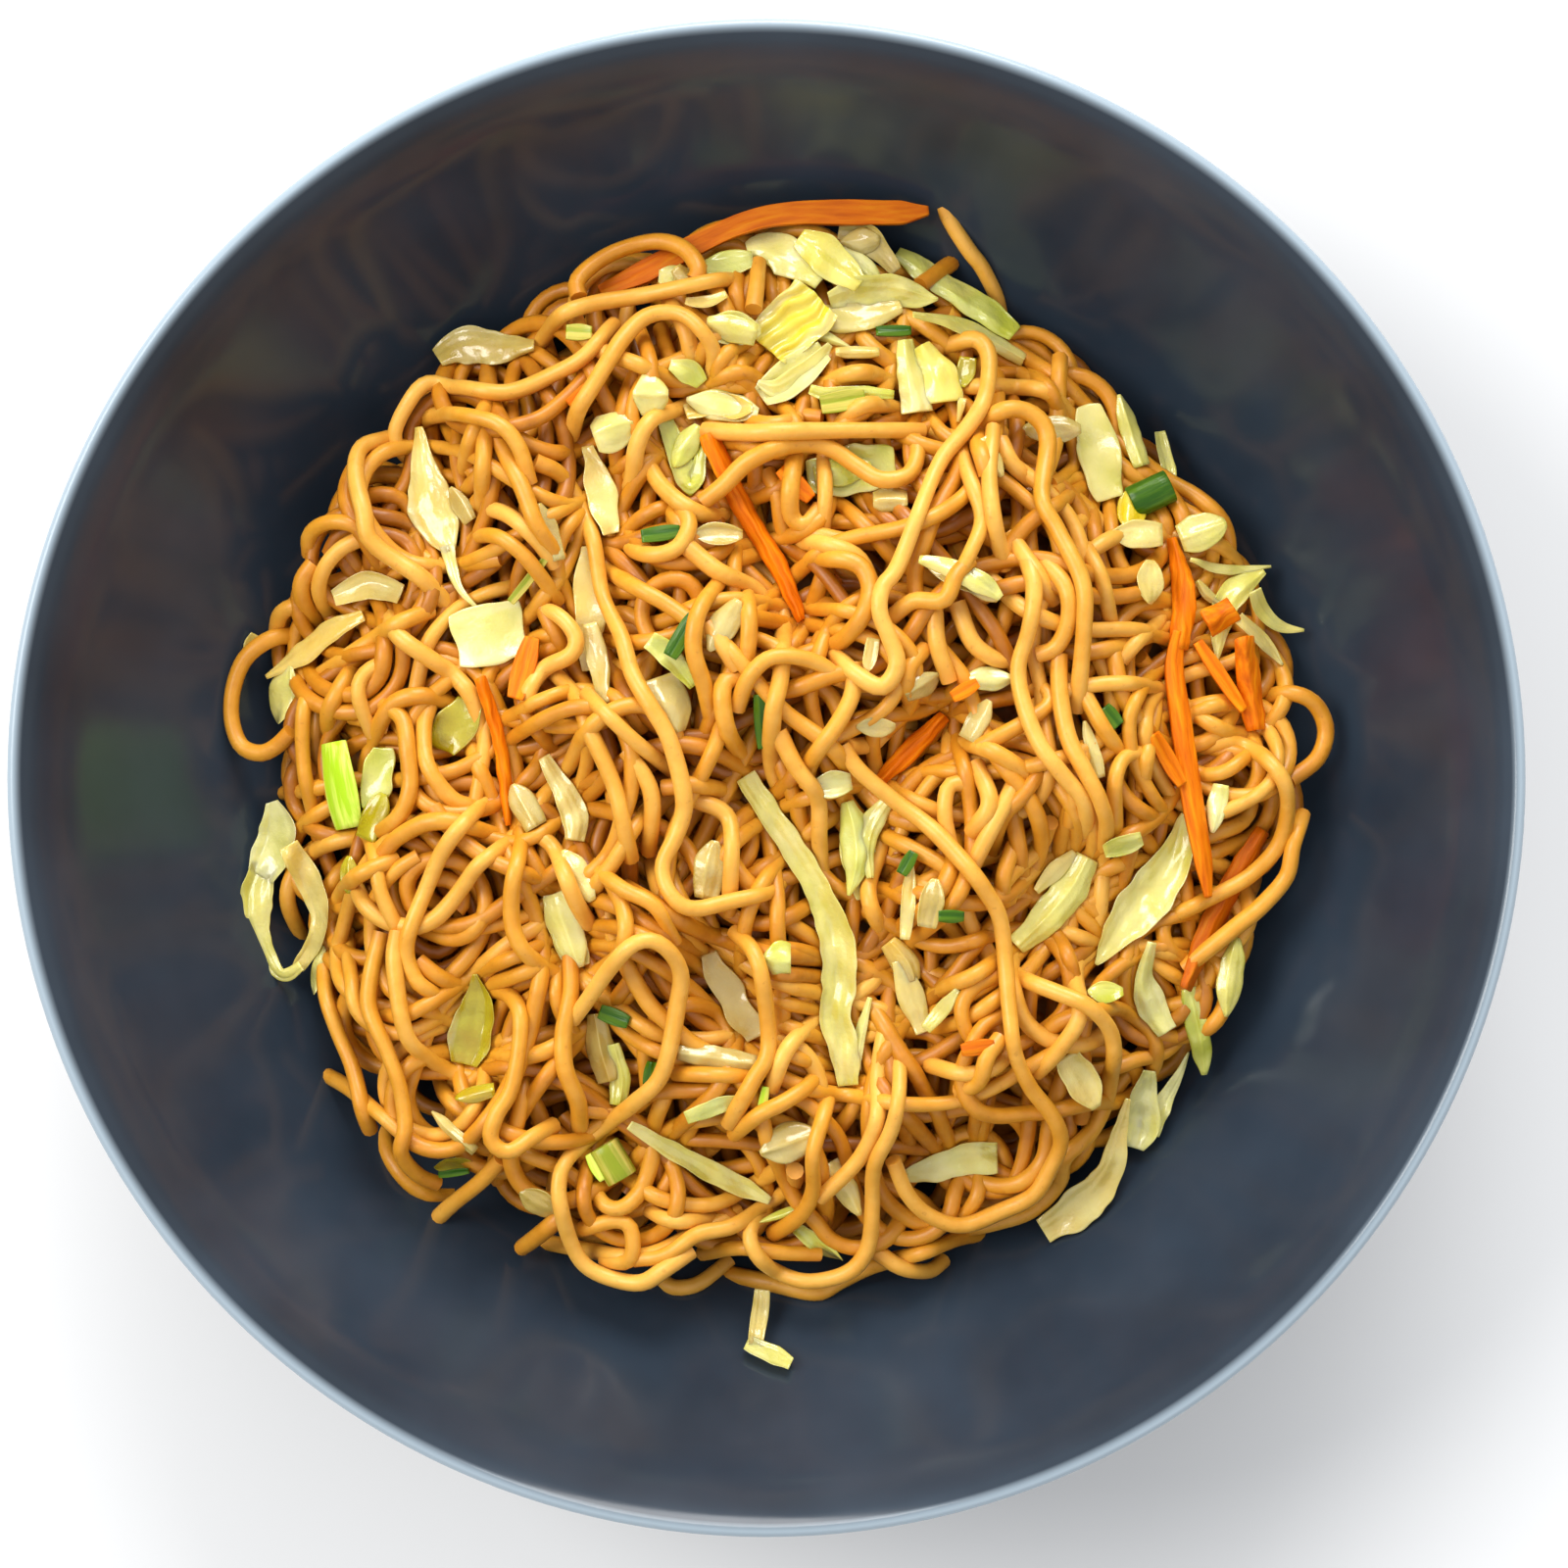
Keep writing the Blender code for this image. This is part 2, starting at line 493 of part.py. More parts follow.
def noodle_heights(line, heap):
    """A noodle lies on the heap, passes over tucked pieces, and sags no tighter than SAG_RADIUS."""
    clear = NOODLE_RADIUS + PASS_GAP
    floor = [
        max(
            heap.highest(x, y, NOODLE_RADIUS / 2) + NOODLE_SEAT,
            TUCKED.highest(x, y, clear) + clear,
            wall_clear(math.hypot(x, y), NOODLE_RADIUS + TOUCH_GAP),
        )
        for x, y in line
    ]
    height, floor = np.array(floor), np.array(floor)
    for _ in range(SETTLE_ROUNDS):
        middle = (height[:-2] + height[2:]) / 2 - NOODLE_STEP**2 / (2 * SAG_RADIUS)
        height[1:-1] = np.maximum(floor[1:-1], middle)
        height[[0, -1]] = np.maximum(floor[[0, -1]], height[[1, -2]] - END_DROP)
    return height


def thinned(path, flat):
    """The few points of a path whose straight runs stay this near it."""
    chord = path[-1] - path[0]
    along = np.clip((path - path[0]) @ chord / (chord @ chord), 0, 1)
    off = np.linalg.norm(path - path[0] - along[:, None] * chord, axis=1)
    far = off.argmax()
    if off[far] < flat:
        return path[[0, -1]]
    return np.vstack([thinned(path[: far + 1], flat), thinned(path[far:], flat)[1:]])


def add_noodle(line, heap, group):
    """Lays one noodle as a six-sided tube and puts it into the collection that the core is joined with."""
    path = np.column_stack([line, noodle_heights(line, heap)])
    bends = thinned(path, NOODLE_FLAT)
    curve = bpy.data.curves.new("noodle", "CURVE")
    curve.dimensions = "3D"
    curve.bevel_depth = NOODLE_RADIUS
    curve.bevel_resolution = 1
    curve.use_fill_caps = True
    spline = curve.splines.new("POLY")
    spline.points.add(len(bends) - 1)
    for point, spot in zip(spline.points, bends):
        point.co = (*spot, 1.0)
    drawn = bpy.data.objects.new("noodle", curve)
    bpy.context.scene.collection.objects.link(drawn)
    bpy.context.view_layer.update()
    mesh = bpy.data.meshes.new_from_object(drawn.evaluated_get(bpy.context.evaluated_depsgraph_get()))
    bpy.data.objects.remove(drawn)
    bm = bmesh.new()
    bm.from_mesh(mesh)
    bmesh.ops.remove_doubles(bm, verts=bm.verts, dist=1e-6)
    bmesh.ops.recalc_face_normals(bm, faces=bm.faces)
    heap.add(bm)
    bm.to_mesh(mesh)
    bm.free()
    group.objects.link(bpy.data.objects.new("noodle", mesh))


def outer_shell(bm):
    """Drops every loose scrap and fills every sealed hollow: only the largest shell stays."""
    left, shells = set(bm.verts), []
    while left:
        shell, edge = set(), [left.pop()]
        while edge:
            vert = edge.pop()
            shell.add(vert)
            near = {link.other_vert(vert) for link in vert.link_edges} & left
            left -= near
            edge.extend(near)
        shells.append(shell)
    shells.sort(key=len)
    bmesh.ops.delete(bm, geom=[vert for shell in shells[:-1] for vert in shell], context="VERTS")


def make_heap(core, finish):
    """Joins the noodles that show to the core by one union."""
    heap = Ground()
    heap.height = CORE.height.copy()
    group = bpy.data.collections.new("noodles")
    bpy.context.scene.collection.children.link(group)
    known = [np.array(plan) * MM for plan in KNOWN_NOODLES.values()]
    for plan in known + list(stray_noodles()):
        for line in free_runs(smooth(plan, NOODLE_STEP)):
            if len(line) * NOODLE_STEP > SHORTEST_NOODLE:
                add_noodle(line, heap, group)
    body = keep(core, "noodle_heap", finish)
    union = body.modifiers.new("join", "BOOLEAN")
    union.operation = "UNION"
    union.operand_type = "COLLECTION"
    union.collection = group
    union.solver = "EXACT"
    union.use_self = True
    bpy.context.view_layer.update()
    joined = bmesh.new()
    joined.from_object(body, bpy.context.evaluated_depsgraph_get())
    for noodle in list(group.objects):
        bpy.data.objects.remove(noodle)
    bpy.data.collections.remove(group)
    bpy.data.objects.remove(body)
    bmesh.ops.triangulate(joined, faces=joined.faces)
    bmesh.ops.remove_doubles(joined, verts=joined.verts, dist=4e-6)
    bmesh.ops.dissolve_degenerate(joined, edges=joined.edges, dist=2e-6)
    outer_shell(joined)
    keep(joined, "noodle_heap", finish)


def main():
    clear_scene()
    make_bowl(material("navy glaze", (0.030, 0.044, 0.060), 0.12))
    core = make_core()
    CORE.add(core)
    lay_cabbage(
        material("pale cabbage", (0.80, 0.70, 0.30), 0.35),
        material("green cabbage", (0.58, 0.62, 0.14), 0.35),
        material("yellow cabbage", (0.85, 0.72, 0.10), 0.35),
    )
    lay_carrots(material("carrot", (0.83, 0.20, 0.01), 0.35))
    lay_onions(
        material("dark onion", (0.05, 0.16, 0.01), 0.3),
        material("bright onion", (0.45, 0.70, 0.05), 0.3),
    )
    make_heap(core, material("fried noodle", (0.62, 0.29, 0.05), 0.3))


main()
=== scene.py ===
"""The looks of a bowl of fried noodles with cabbage, carrot and spring onion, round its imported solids.

Noodles are dropped one after another on a grid of heights, so that each lies on what is under it, sags
between and passes under the vegetables that the solids place on top. The order is: core, three layers of
random noodles, tucked vegetables and small bits, the noodles that follow the photograph, the other
vegetables, and the noodles that cross them.
"""

import json
import math
import random

import bmesh
import bpy
import numpy as np
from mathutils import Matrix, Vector
from mathutils.bvhtree import BVHTree

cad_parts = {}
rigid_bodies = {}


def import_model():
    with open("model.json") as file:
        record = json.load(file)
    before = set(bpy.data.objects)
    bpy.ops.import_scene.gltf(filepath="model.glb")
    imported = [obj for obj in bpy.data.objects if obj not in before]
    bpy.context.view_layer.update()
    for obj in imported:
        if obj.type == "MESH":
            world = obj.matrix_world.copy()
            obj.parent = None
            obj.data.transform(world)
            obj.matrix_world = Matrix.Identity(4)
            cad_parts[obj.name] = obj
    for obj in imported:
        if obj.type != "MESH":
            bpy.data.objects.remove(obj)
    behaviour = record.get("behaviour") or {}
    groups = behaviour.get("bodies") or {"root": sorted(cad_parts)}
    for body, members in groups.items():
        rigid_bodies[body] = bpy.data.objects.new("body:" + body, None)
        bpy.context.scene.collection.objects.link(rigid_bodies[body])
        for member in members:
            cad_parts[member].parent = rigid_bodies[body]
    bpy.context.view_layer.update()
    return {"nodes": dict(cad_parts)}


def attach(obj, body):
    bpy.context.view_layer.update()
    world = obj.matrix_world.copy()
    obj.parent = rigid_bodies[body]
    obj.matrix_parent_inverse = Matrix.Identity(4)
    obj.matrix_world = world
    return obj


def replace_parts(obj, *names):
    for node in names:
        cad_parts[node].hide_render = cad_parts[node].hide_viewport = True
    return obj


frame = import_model()

MM = 0.001

# Camera, straight above the bowl. The photograph is square.
PHOTO = 1600
LENS = 90.8
SENSOR = 36.0
CAMERA = Vector((0.0029, -0.0010, 0.7168))
PIXEL = SENSOR / LENS / PHOTO

# The bowl, as the solids have it.
RIM_RADIUS = 0.125
LIP_RADIUS = 0.0012
FLOOR_HEIGHT = 0.008
FLOOR_RADIUS = 0.030
BELLY_RADIUS = 0.114
BELLY_SLOPE = math.radians(58)
RIM_SLOPE = math.radians(48)
WALL_AT_LIP = 2 * LIP_RADIUS
WALL_AT_FOOT = 0.0034
LIGHT_LIP = 0.0010
FOOT_RADIUS = 0.049
FOOT_WIDTH = 0.0045
FOOT_HOLLOW = 0.0035
FOOT_ROUND = 0.0008
BELLY_BEND = (BELLY_RADIUS - FLOOR_RADIUS) / math.sin(BELLY_SLOPE)
BOWL_SEGMENTS = 192
BELLY_STEPS = 28
FLARE_STEPS = 6
LIP_STEPS = 8

# The heap: its middle, and the form that the solids give it.
HEAP_MIDDLE = (0.0015, 0.0040)
HEAP_RADIUS = 0.0885
HEAP_TOP = 0.0490
HEAP_SHOULDER = 3.0
HEAP_FALL = 0.7
SHOWN_RISE = 0.0035
# The size of a photograph's pixel on the heap.
HEAP_PIXEL = PIXEL * (CAMERA.z - HEAP_TOP)
CORE_RADIUS = 0.0835
CORE_TOP = 0.0415
CORE_INSIDE = 0.995
CORE_GAP = 0.0007
CORE_RINGS = 16
CORE_SEGMENTS = 72

# Noodles.
NOODLE_RADIUS = 0.00140
NOODLE_STEP = 0.001
SQUEEZE = 0.0004
SAG_RADIUS = 0.016
SETTLE_ROUNDS = 160
EASING_ROUNDS = 4
END_SLOPE = 0.7
DIVE_REACH = 0.009
SHOWN_DIVE = 0.0035
TIP_REACH = 0.004
WANDER_STEP = 0.004
# How much a noodle swells and thins along itself: share of its radius, and length in metres.
SWELLS = ((0.05, 0.011), (0.03, 0.004))
CEILING_SLOPE = 1.6
CEILING_REACH = 0.003
DEEP_NOODLES = 164
UPPER_NOODLES = 58
CANDIDATES = 14
ROOM_REACH = 0.004
SEED = 5

# Grid of heights seen from above.
GRID = 0.0004
HALF_GRID = 300
NO_CEILING = 1.0


def paint(red, green, blue):
    """A colour as a shader takes it, from the 0 to 255 values that a picture has."""
    return tuple((value / 255 / 12.92 if value < 10.3 else ((value / 255 + 0.055) / 1.055) ** 2.4)
                 for value in (red, green, blue))


# Forms that the noodles need: the bowl's wall and the heap.


def inner_line():
    """(radius, height, slope) up the inside of the bowl, from the edge of its floor to its lip."""
    line = []
    for step in range(BELLY_STEPS + 1):
        slope = BELLY_SLOPE * step / BELLY_STEPS
        rise = BELLY_BEND * (1 - math.cos(slope))
        line.append((FLOOR_RADIUS + BELLY_BEND * math.sin(slope), FLOOR_HEIGHT + rise, slope))
    lip_start = RIM_RADIUS - LIP_RADIUS * (1 + math.sin(RIM_SLOPE))
    run = (lip_start - BELLY_RADIUS) / FLARE_STEPS
    for step in range(FLARE_STEPS):
        radius, height, _ = line[-1]
        middle = BELLY_SLOPE + (RIM_SLOPE - BELLY_SLOPE) * (step + 0.5) / FLARE_STEPS
        slope = BELLY_SLOPE + (RIM_SLOPE - BELLY_SLOPE) * (step + 1) / FLARE_STEPS
        line.append((radius + run, height + run * math.tan(middle), slope))
    return line


INNER_RADII, INNER_HEIGHTS = np.array([(0.0, FLOOR_HEIGHT)] + [point[:2] for point in inner_line()]).T


def wall_height(radius):
    return np.interp(radius, INNER_RADII, INNER_HEIGHTS)


def unevenness(angle):
    """The share of its radius that the heap's outline has in this direction."""
    return 1 + 0.018 * np.cos(3 * angle + 0.6) + 0.012 * np.cos(5 * angle - 1.1)


def heap_form(x, y, top, radius):
    """The height of a dome with this top and radius, over the bowl's wall."""
    x, y = np.asarray(x, float), np.asarray(y, float)
    angle = np.arctan2(y - HEAP_MIDDLE[1], x - HEAP_MIDDLE[0])
    edge = radius * unevenness(angle)
    out = np.hypot(x - HEAP_MIDDLE[0], y - HEAP_MIDDLE[1]) / edge
    foot = wall_height(np.hypot(x, y) / np.maximum(out, 1e-6))
    rounded_off = (1 - np.minimum(out, 1) ** HEAP_SHOULDER) ** HEAP_FALL
    return np.where(out < 1, foot + (top - foot) * rounded_off, 0.0)


def spot(px, py):
    """The place on the heap, in metres, that the photograph shows at this pixel."""
    height = HEAP_TOP
    for _ in range(3):
        away = (CAMERA.z - height) * PIXEL
        x, y = CAMERA.x + (px - PHOTO / 2) * away, CAMERA.y + (PHOTO / 2 - py) * away
        wall = float(wall_height(math.hypot(x, y)))
        height = max(float(heap_form(x, y, HEAP_TOP, HEAP_RADIUS)), wall) + SHOWN_RISE
    return x, y


def smooth(points, spacing):
    """Evenly spaced points on the smooth curve through these points."""
    given = np.array(points, float)
    ends = 2 * given[:1] - given[1:2], 2 * given[-1:] - given[-2:-1]
    knots = np.vstack([ends[0], given, ends[1]])
    t = np.linspace(0, 1, 16, endpoint=False)[:, None]
    spans = [
        0.5 * (2 * b + (c - a) * t + (2 * a - 5 * b + 4 * c - d) * t**2 + (3 * b - a - 3 * c + d) * t**3)
        for a, b, c, d in zip(knots, knots[1:], knots[2:], knots[3:])
    ]
    return evenly(np.vstack([*spans, given[-1:]]), spacing)


def evenly(path, spacing):
    reach = np.concatenate([[0.0], np.cumsum(np.linalg.norm(np.diff(path, axis=0), axis=1))])
    marks = np.linspace(0, reach[-1], max(3, round(reach[-1] / spacing)) + 1)
    return np.column_stack([np.interp(marks, reach, axis) for axis in path.T])


def ripple(x, y, size, seed):
    """Smooth unevenness from -1 to 1, with waves about this long."""
    draw = random.Random(seed)
    total = 0
    for _ in range(5):
        turn, length = draw.uniform(0, math.pi), size * draw.uniform(0.7, 1.5)
        along = x * math.cos(turn) + y * math.sin(turn)
        total = total + np.sin(2 * math.pi * along / length + draw.uniform(0, 6.3))
    return total / 3


# The grid of heights.


def cells_within(reach):
    """(cell offsets, distances) of the grid's cells within this reach."""
    count = max(1, math.ceil(reach / GRID - 0.4))
    span = np.arange(-count, count + 1)
    i, j = np.meshgrid(span, span, indexing="ij")
    away = np.hypot(i, j) * GRID
    inside = away <= max(reach, GRID)
    return i[inside], j[inside], away[inside]


def cells_of(spots):
    return np.round(np.asarray(spots)[:, :2] / GRID).astype(int) + HALF_GRID


SPAN = (np.arange(2 * HALF_GRID + 1) - HALF_GRID) * GRID
GRID_X, GRID_Y = np.meshgrid(SPAN, SPAN, indexing="ij")


class Pile:
    """The top of all that lies in the bowl so far."""

    def __init__(self):
        core = heap_form(GRID_X, GRID_Y, CORE_TOP, CORE_RADIUS)
        self.height = np.maximum(wall_height(np.hypot(GRID_X, GRID_Y)), core)

    def under_ball(self, spots, radius):
        """The heights at which a ball of this radius would rest, each over its spot."""
        i, j, away = cells_within(radius)
        cells = cells_of(spots)
        lift = np.sqrt(np.maximum(radius**2 - away**2, 0))
        return (self.height[cells[:, :1] + i, cells[:, 1:] + j] + lift).max(axis=1)

    def under_disc(self, spots, reach):
        i, j, _ = cells_within(reach)
        cells = cells_of(spots)
        return self.height[cells[:, :1] + i, cells[:, 1:] + j].max(axis=1)

    def add_tube(self, path, radius):
        fine = evenly(path, GRID)
        i, j, away = cells_within(radius)
        cells = cells_of(fine)
        top = fine[:, 2:] + np.sqrt(np.maximum(radius**2 - away**2, 0))
        np.maximum.at(self.height, (cells[:, :1] + i, cells[:, 1:] + j), top)

    def add_grid(self, top):
        self.height = np.maximum(self.height, top)


def seen_height(tree, corners, upward):
    """The heights at which vertical rays meet a mesh, on the whole grid, from above or from below."""
    found = np.full(GRID_X.shape, np.nan)
    low = np.floor(corners.min(axis=0)[:2] / GRID).astype(int) + HALF_GRID
    high = np.ceil(corners.max(axis=0)[:2] / GRID).astype(int) + HALF_GRID
    start, ray = (0.0, Vector((0, 0, 1))) if upward else (2 * HEAP_TOP, Vector((0, 0, -1)))
    for i in range(low[0], high[0] + 1):
        for j in range(low[1], high[1] + 1):
            hit = tree.ray_cast(Vector((SPAN[i], SPAN[j], start)), ray)[0]
            if hit:
                found[i, j] = hit.z
    return found


def with_slopes(ceiling):
    """A ceiling that rises gently away from each piece, so that a noodle dips to pass under it."""
    for _ in range(round(CEILING_REACH / GRID)):
        wide = np.pad(ceiling, 1, mode="edge")
        beside = [wide[:-2, 1:-1], wide[2:, 1:-1], wide[1:-1, :-2], wide[1:-1, 2:]]
        ceiling = np.minimum(ceiling, np.minimum.reduce(beside) + CEILING_SLOPE * GRID)
        corners = [wide[:-2, :-2], wide[2:, 2:], wide[2:, :-2], wide[:-2, 2:]]
        ceiling = np.minimum(ceiling, np.minimum.reduce(corners) + 1.41 * CEILING_SLOPE * GRID)
    return ceiling


def below(ceiling, spots, radius):
    """The highest that a ball may be over each spot and stay under a ceiling."""
    i, j, _ = cells_within(radius)
    cells = cells_of(spots)
    return ceiling[cells[:, :1] + i, cells[:, 1:] + j].min(axis=1) - radius


# Materials.


class Finish:
    """A Principled material, and short ways to add its nodes."""

    def __init__(self, name, colour, roughness, **values):
        self.material = bpy.data.materials.new(name)
        self.material.use_nodes = True
        self.tree = self.material.node_tree
        self.shader = self.tree.nodes["Principled BSDF"]
        self.set("Base Color", (*colour, 1.0))
        self.set("Roughness", roughness)
        for socket, value in values.items():
            self.set(socket.replace("_", " "), value)

    def set(self, socket, value):
        if isinstance(value, bpy.types.NodeSocket):
            self.tree.links.new(value, self.shader.inputs[socket])
        else:
            self.shader.inputs[socket].default_value = value

    def node(self, kind, inputs=(), **settings):
        made = self.tree.nodes.new(kind)
        for key, value in settings.items():
            setattr(made, key, value)
        for key, value in dict(inputs).items():
            if isinstance(value, bpy.types.NodeSocket):
                self.tree.links.new(value, made.inputs[key])
            else:
                made.inputs[key].default_value = value
        return made

    def attribute(self, name, output):
        return self.node("ShaderNodeAttribute", attribute_name=name).outputs[output]

    def place(self):
        return self.node("ShaderNodeTexCoord").outputs["Object"]

    def lengthwise(self, share):
        """The place along and across a piece, with this share of the detail along it."""
        inputs = {"Vector": self.attribute("grain", "Vector"), "Scale": (share, 1.0, 1.0)}
        return self.node("ShaderNodeMapping", inputs).outputs["Vector"]

    def noise(self, scale, detail=3.0, place=None, roughness=0.5):
        inputs = {"Vector": place or self.place(), "Scale": scale, "Detail": detail, "Roughness": roughness}
        return self.node("ShaderNodeTexNoise", inputs).outputs["Fac"]

    def math(self, operation, *values):
        made = self.node("ShaderNodeMath", enumerate(values), operation=operation)
        return made.outputs[0]

    def stretched(self, value, low, high):
        """A value from 0 to 1 as it goes from low to high."""
        inputs = {"Value": value, "From Min": low, "From Max": high}
        return self.node("ShaderNodeMapRange", inputs).outputs["Result"]

    def ramp(self, value, stops):
        made = self.node("ShaderNodeValToRGB", {"Fac": value})
        band = made.color_ramp
        while len(band.elements) < len(stops):
            band.elements.new(0.5)
        for element, (place, colour) in zip(band.elements, stops):
            element.position = place
            element.color = (*colour, 1.0)
        return made.outputs["Color"]

    def mixed(self, factor, first, second, blend="MIX"):
        made = self.node("ShaderNodeMix", data_type="RGBA", blend_type=blend)
        for socket, value in zip((made.inputs[0], made.inputs[6], made.inputs[7]), (factor, first, second)):
            if isinstance(value, bpy.types.NodeSocket):
                self.tree.links.new(value, socket)
            else:
                socket.default_value = (*value, 1.0) if isinstance(value, tuple) else value
        return made.outputs[2]

    def bumps(self, height, strength, distance):
        inputs = {"Height": height, "Strength": strength, "Distance": distance}
        self.set("Normal", self.node("ShaderNodeBump", inputs).outputs["Normal"])


def noodle_finish():
    finish = Finish(
        "fried noodle", paint(214, 150, 50), 0.4, Subsurface_Weight=0.12, Subsurface_Radius=(1.0, 0.55, 0.12),
        Subsurface_Scale=0.0022, Coat_Weight=0.12, Coat_Roughness=0.24, Specular_IOR_Level=0.42,
    )
    browning = finish.math("MULTIPLY_ADD", finish.noise(110.0, 2.0), 0.6, -0.45)
    mottling = finish.math("MULTIPLY_ADD", finish.noise(480.0, 2.0), 0.3, browning)
    shade = finish.math("ADD", finish.attribute("shade", "Fac"), mottling)
    colour = finish.ramp(shade, [
        (0.0, paint(160, 92, 8)), (0.3, paint(196, 124, 18)),
        (0.6, paint(214, 146, 34)), (1.0, paint(232, 174, 72)),
    ])
    seared = finish.math("MULTIPLY", finish.attribute("tip", "Fac"), 0.4)
    colour = finish.mixed(seared, colour, paint(196, 116, 26))
    specks = finish.stretched(finish.noise(900.0, 2.0), 0.66, 0.74)
    colour = finish.mixed(finish.math("MULTIPLY", specks, 0.25), colour, paint(150, 84, 24))
    finish.set("Base Color", colour)
    finish.set("Roughness", finish.math("MULTIPLY_ADD", finish.noise(260.0, 1.0), 0.26, 0.32))
    finish.bumps(finish.noise(420.0, 2.0), 0.5, 0.0003)
    return finish.material


def core_finish():
    # Darker than most of the noodles: painted shade for the deep gaps where this shows.
    finish = Finish("deep noodle", paint(120, 66, 16), 0.5)
    colour = finish.ramp(finish.noise(140.0), [(0.3, paint(150, 90, 18)), (0.7, paint(196, 130, 40))])
    finish.set("Base Color", colour)
    finish.bumps(finish.noise(220.0, 2.0), 0.8, 0.0015)
    return finish.material


def cabbage_finish(name):
    finish = Finish(
        name, paint(224, 200, 118), 0.3, Subsurface_Weight=0.5, Subsurface_Radius=(1.0, 0.85, 0.3),
        Subsurface_Scale=0.003, Coat_Weight=0.7, Coat_Roughness=0.06, Specular_IOR_Level=0.45,
    )
    grain = finish.attribute("grain", "Vector")
    drift = finish.stretched(finish.noise(120.0, 2.0), 0.38, 0.64)
    colour = finish.mixed(drift, finish.attribute("tint", "Color"), finish.attribute("second", "Color"))
    bands = {"Vector": grain, "Scale": 42.0, "Distortion": 2.2, "Detail": 1.0, "Detail Scale": 0.8}
    veins = finish.node("ShaderNodeTexWave", bands, wave_type="BANDS", bands_direction="Y").outputs["Fac"]
    vein = finish.math("MULTIPLY", finish.stretched(veins, 0.8, 1.0), 0.4)
    colour = finish.mixed(vein, colour, paint(246, 238, 186))
    border = finish.math("MULTIPLY", finish.stretched(finish.attribute("edge", "Fac"), 0.6, 1.0), 0.35)
    colour = finish.mixed(border, colour, finish.mixed(1.0, colour, paint(214, 206, 130), "MULTIPLY"))
    stain = finish.stretched(finish.noise(90.0, 3.0), 0.6, 0.74)
    colour = finish.mixed(finish.math("MULTIPLY", stain, 0.3), colour, paint(204, 158, 56))
    finish.set("Base Color", colour)
    finish.set("Roughness", finish.math("MULTIPLY_ADD", finish.noise(300.0), 0.2, 0.14))
    crumpled = finish.noise(340.0, 4.0, roughness=0.6)
    finish.bumps(finish.math("MULTIPLY_ADD", veins, 0.3, crumpled), 0.7, 0.0005)
    return finish.material


def carrot_finish():
    finish = Finish(
        "carrot", paint(226, 112, 4), 0.5, Subsurface_Weight=0.1, Subsurface_Radius=(1.0, 0.4, 0.05),
        Subsurface_Scale=0.0015, Specular_IOR_Level=0.16,
    )
    streak = finish.noise(900.0, 4.0, finish.lengthwise(0.12))
    colour = finish.ramp(streak, [
        (0.28, paint(196, 88, 1)), (0.5, paint(230, 118, 2)), (0.72, paint(246, 150, 12)),
    ])
    colour = finish.mixed(finish.attribute("shade", "Fac"), colour, paint(140, 62, 0))
    finish.set("Base Color", colour)
    finish.bumps(streak, 0.7, 0.0005)
    return finish.material


def onion_finish():
    finish = Finish(
        "spring onion", paint(80, 130, 20), 0.3, Subsurface_Weight=0.15, Subsurface_Radius=(0.5, 1.0, 0.2),
        Subsurface_Scale=0.002, Coat_Weight=0.05, Coat_Roughness=0.15, Specular_IOR_Level=0.25,
    )
    stripe = finish.stretched(finish.noise(800.0, 3.0, finish.lengthwise(0.08)), 0.4, 0.62)
    colour = finish.mixed(stripe, finish.attribute("tint", "Color"), finish.attribute("second", "Color"))
    finish.set("Base Color", colour)
    finish.bumps(stripe, 0.4, 0.0002)
    return finish.material


def glaze_finish():
    finish = Finish(
        "navy glaze", paint(48, 60, 74), 0.2, Coat_Weight=0.05, Coat_Roughness=0.08, Specular_IOR_Level=0.32,
    )
    place = finish.node("ShaderNodeSeparateXYZ", {"Vector": finish.place()})
    square = finish.math("ADD", *[finish.math("POWER", place.outputs[axis], 2.0) for axis in ("X", "Y")])
    radius = finish.math("SQRT", square)
    cloud = finish.stretched(finish.noise(26.0, 4.0), 0.3, 0.75)
    colour = finish.mixed(cloud, paint(33, 42, 52), paint(48, 59, 71))
    lip = finish.stretched(radius, RIM_RADIUS - 2 * LIP_RADIUS, RIM_RADIUS - LIGHT_LIP)
    colour = finish.mixed(lip, colour, paint(150, 164, 174))
    finish.set("Base Color", colour)
    finish.set("Roughness", finish.math("MULTIPLY_ADD", finish.noise(60.0, 3.0), 0.12, 0.1))
    finish.bumps(finish.noise(40.0, 2.0), 0.12, 0.0006)
    return finish.material


FRIED = noodle_finish()
CABBAGE_SLOTS = ("pale_cabbage", "green_cabbage", "yellow_cabbage")
CABBAGE = {slot: cabbage_finish(slot.replace("_", " ")) for slot in CABBAGE_SLOTS}
CARROT = carrot_finish()
ONION = onion_finish()
GLAZE = glaze_finish()

# The two colours that each kind of leaf drifts between.
LEAVES = {
    "cream": (paint(232, 208, 126), paint(222, 190, 98)),
    "white": (paint(238, 226, 150), paint(218, 208, 112)),
    "pale": (paint(230, 214, 128), paint(208, 196, 92)),
    "bright": (paint(238, 224, 120), paint(224, 206, 84)),
    "yellow": (paint(230, 194, 20), paint(236, 212, 78)),
    "lime": (paint(190, 192, 64), paint(218, 214, 120)),
    "green": (paint(162, 144, 6), paint(186, 176, 44)),
    "gold": (paint(234, 196, 104), paint(220, 176, 76)),
    "clear": (paint(204, 182, 112), paint(188, 160, 78)),
}
ONIONS = {
    "dark": (paint(40, 82, 4), paint(78, 112, 10)),
    "bright": (paint(176, 214, 36), paint(222, 236, 100)),
    "soft": (paint(140, 150, 32), paint(200, 184, 84)),
}


# Pieces.


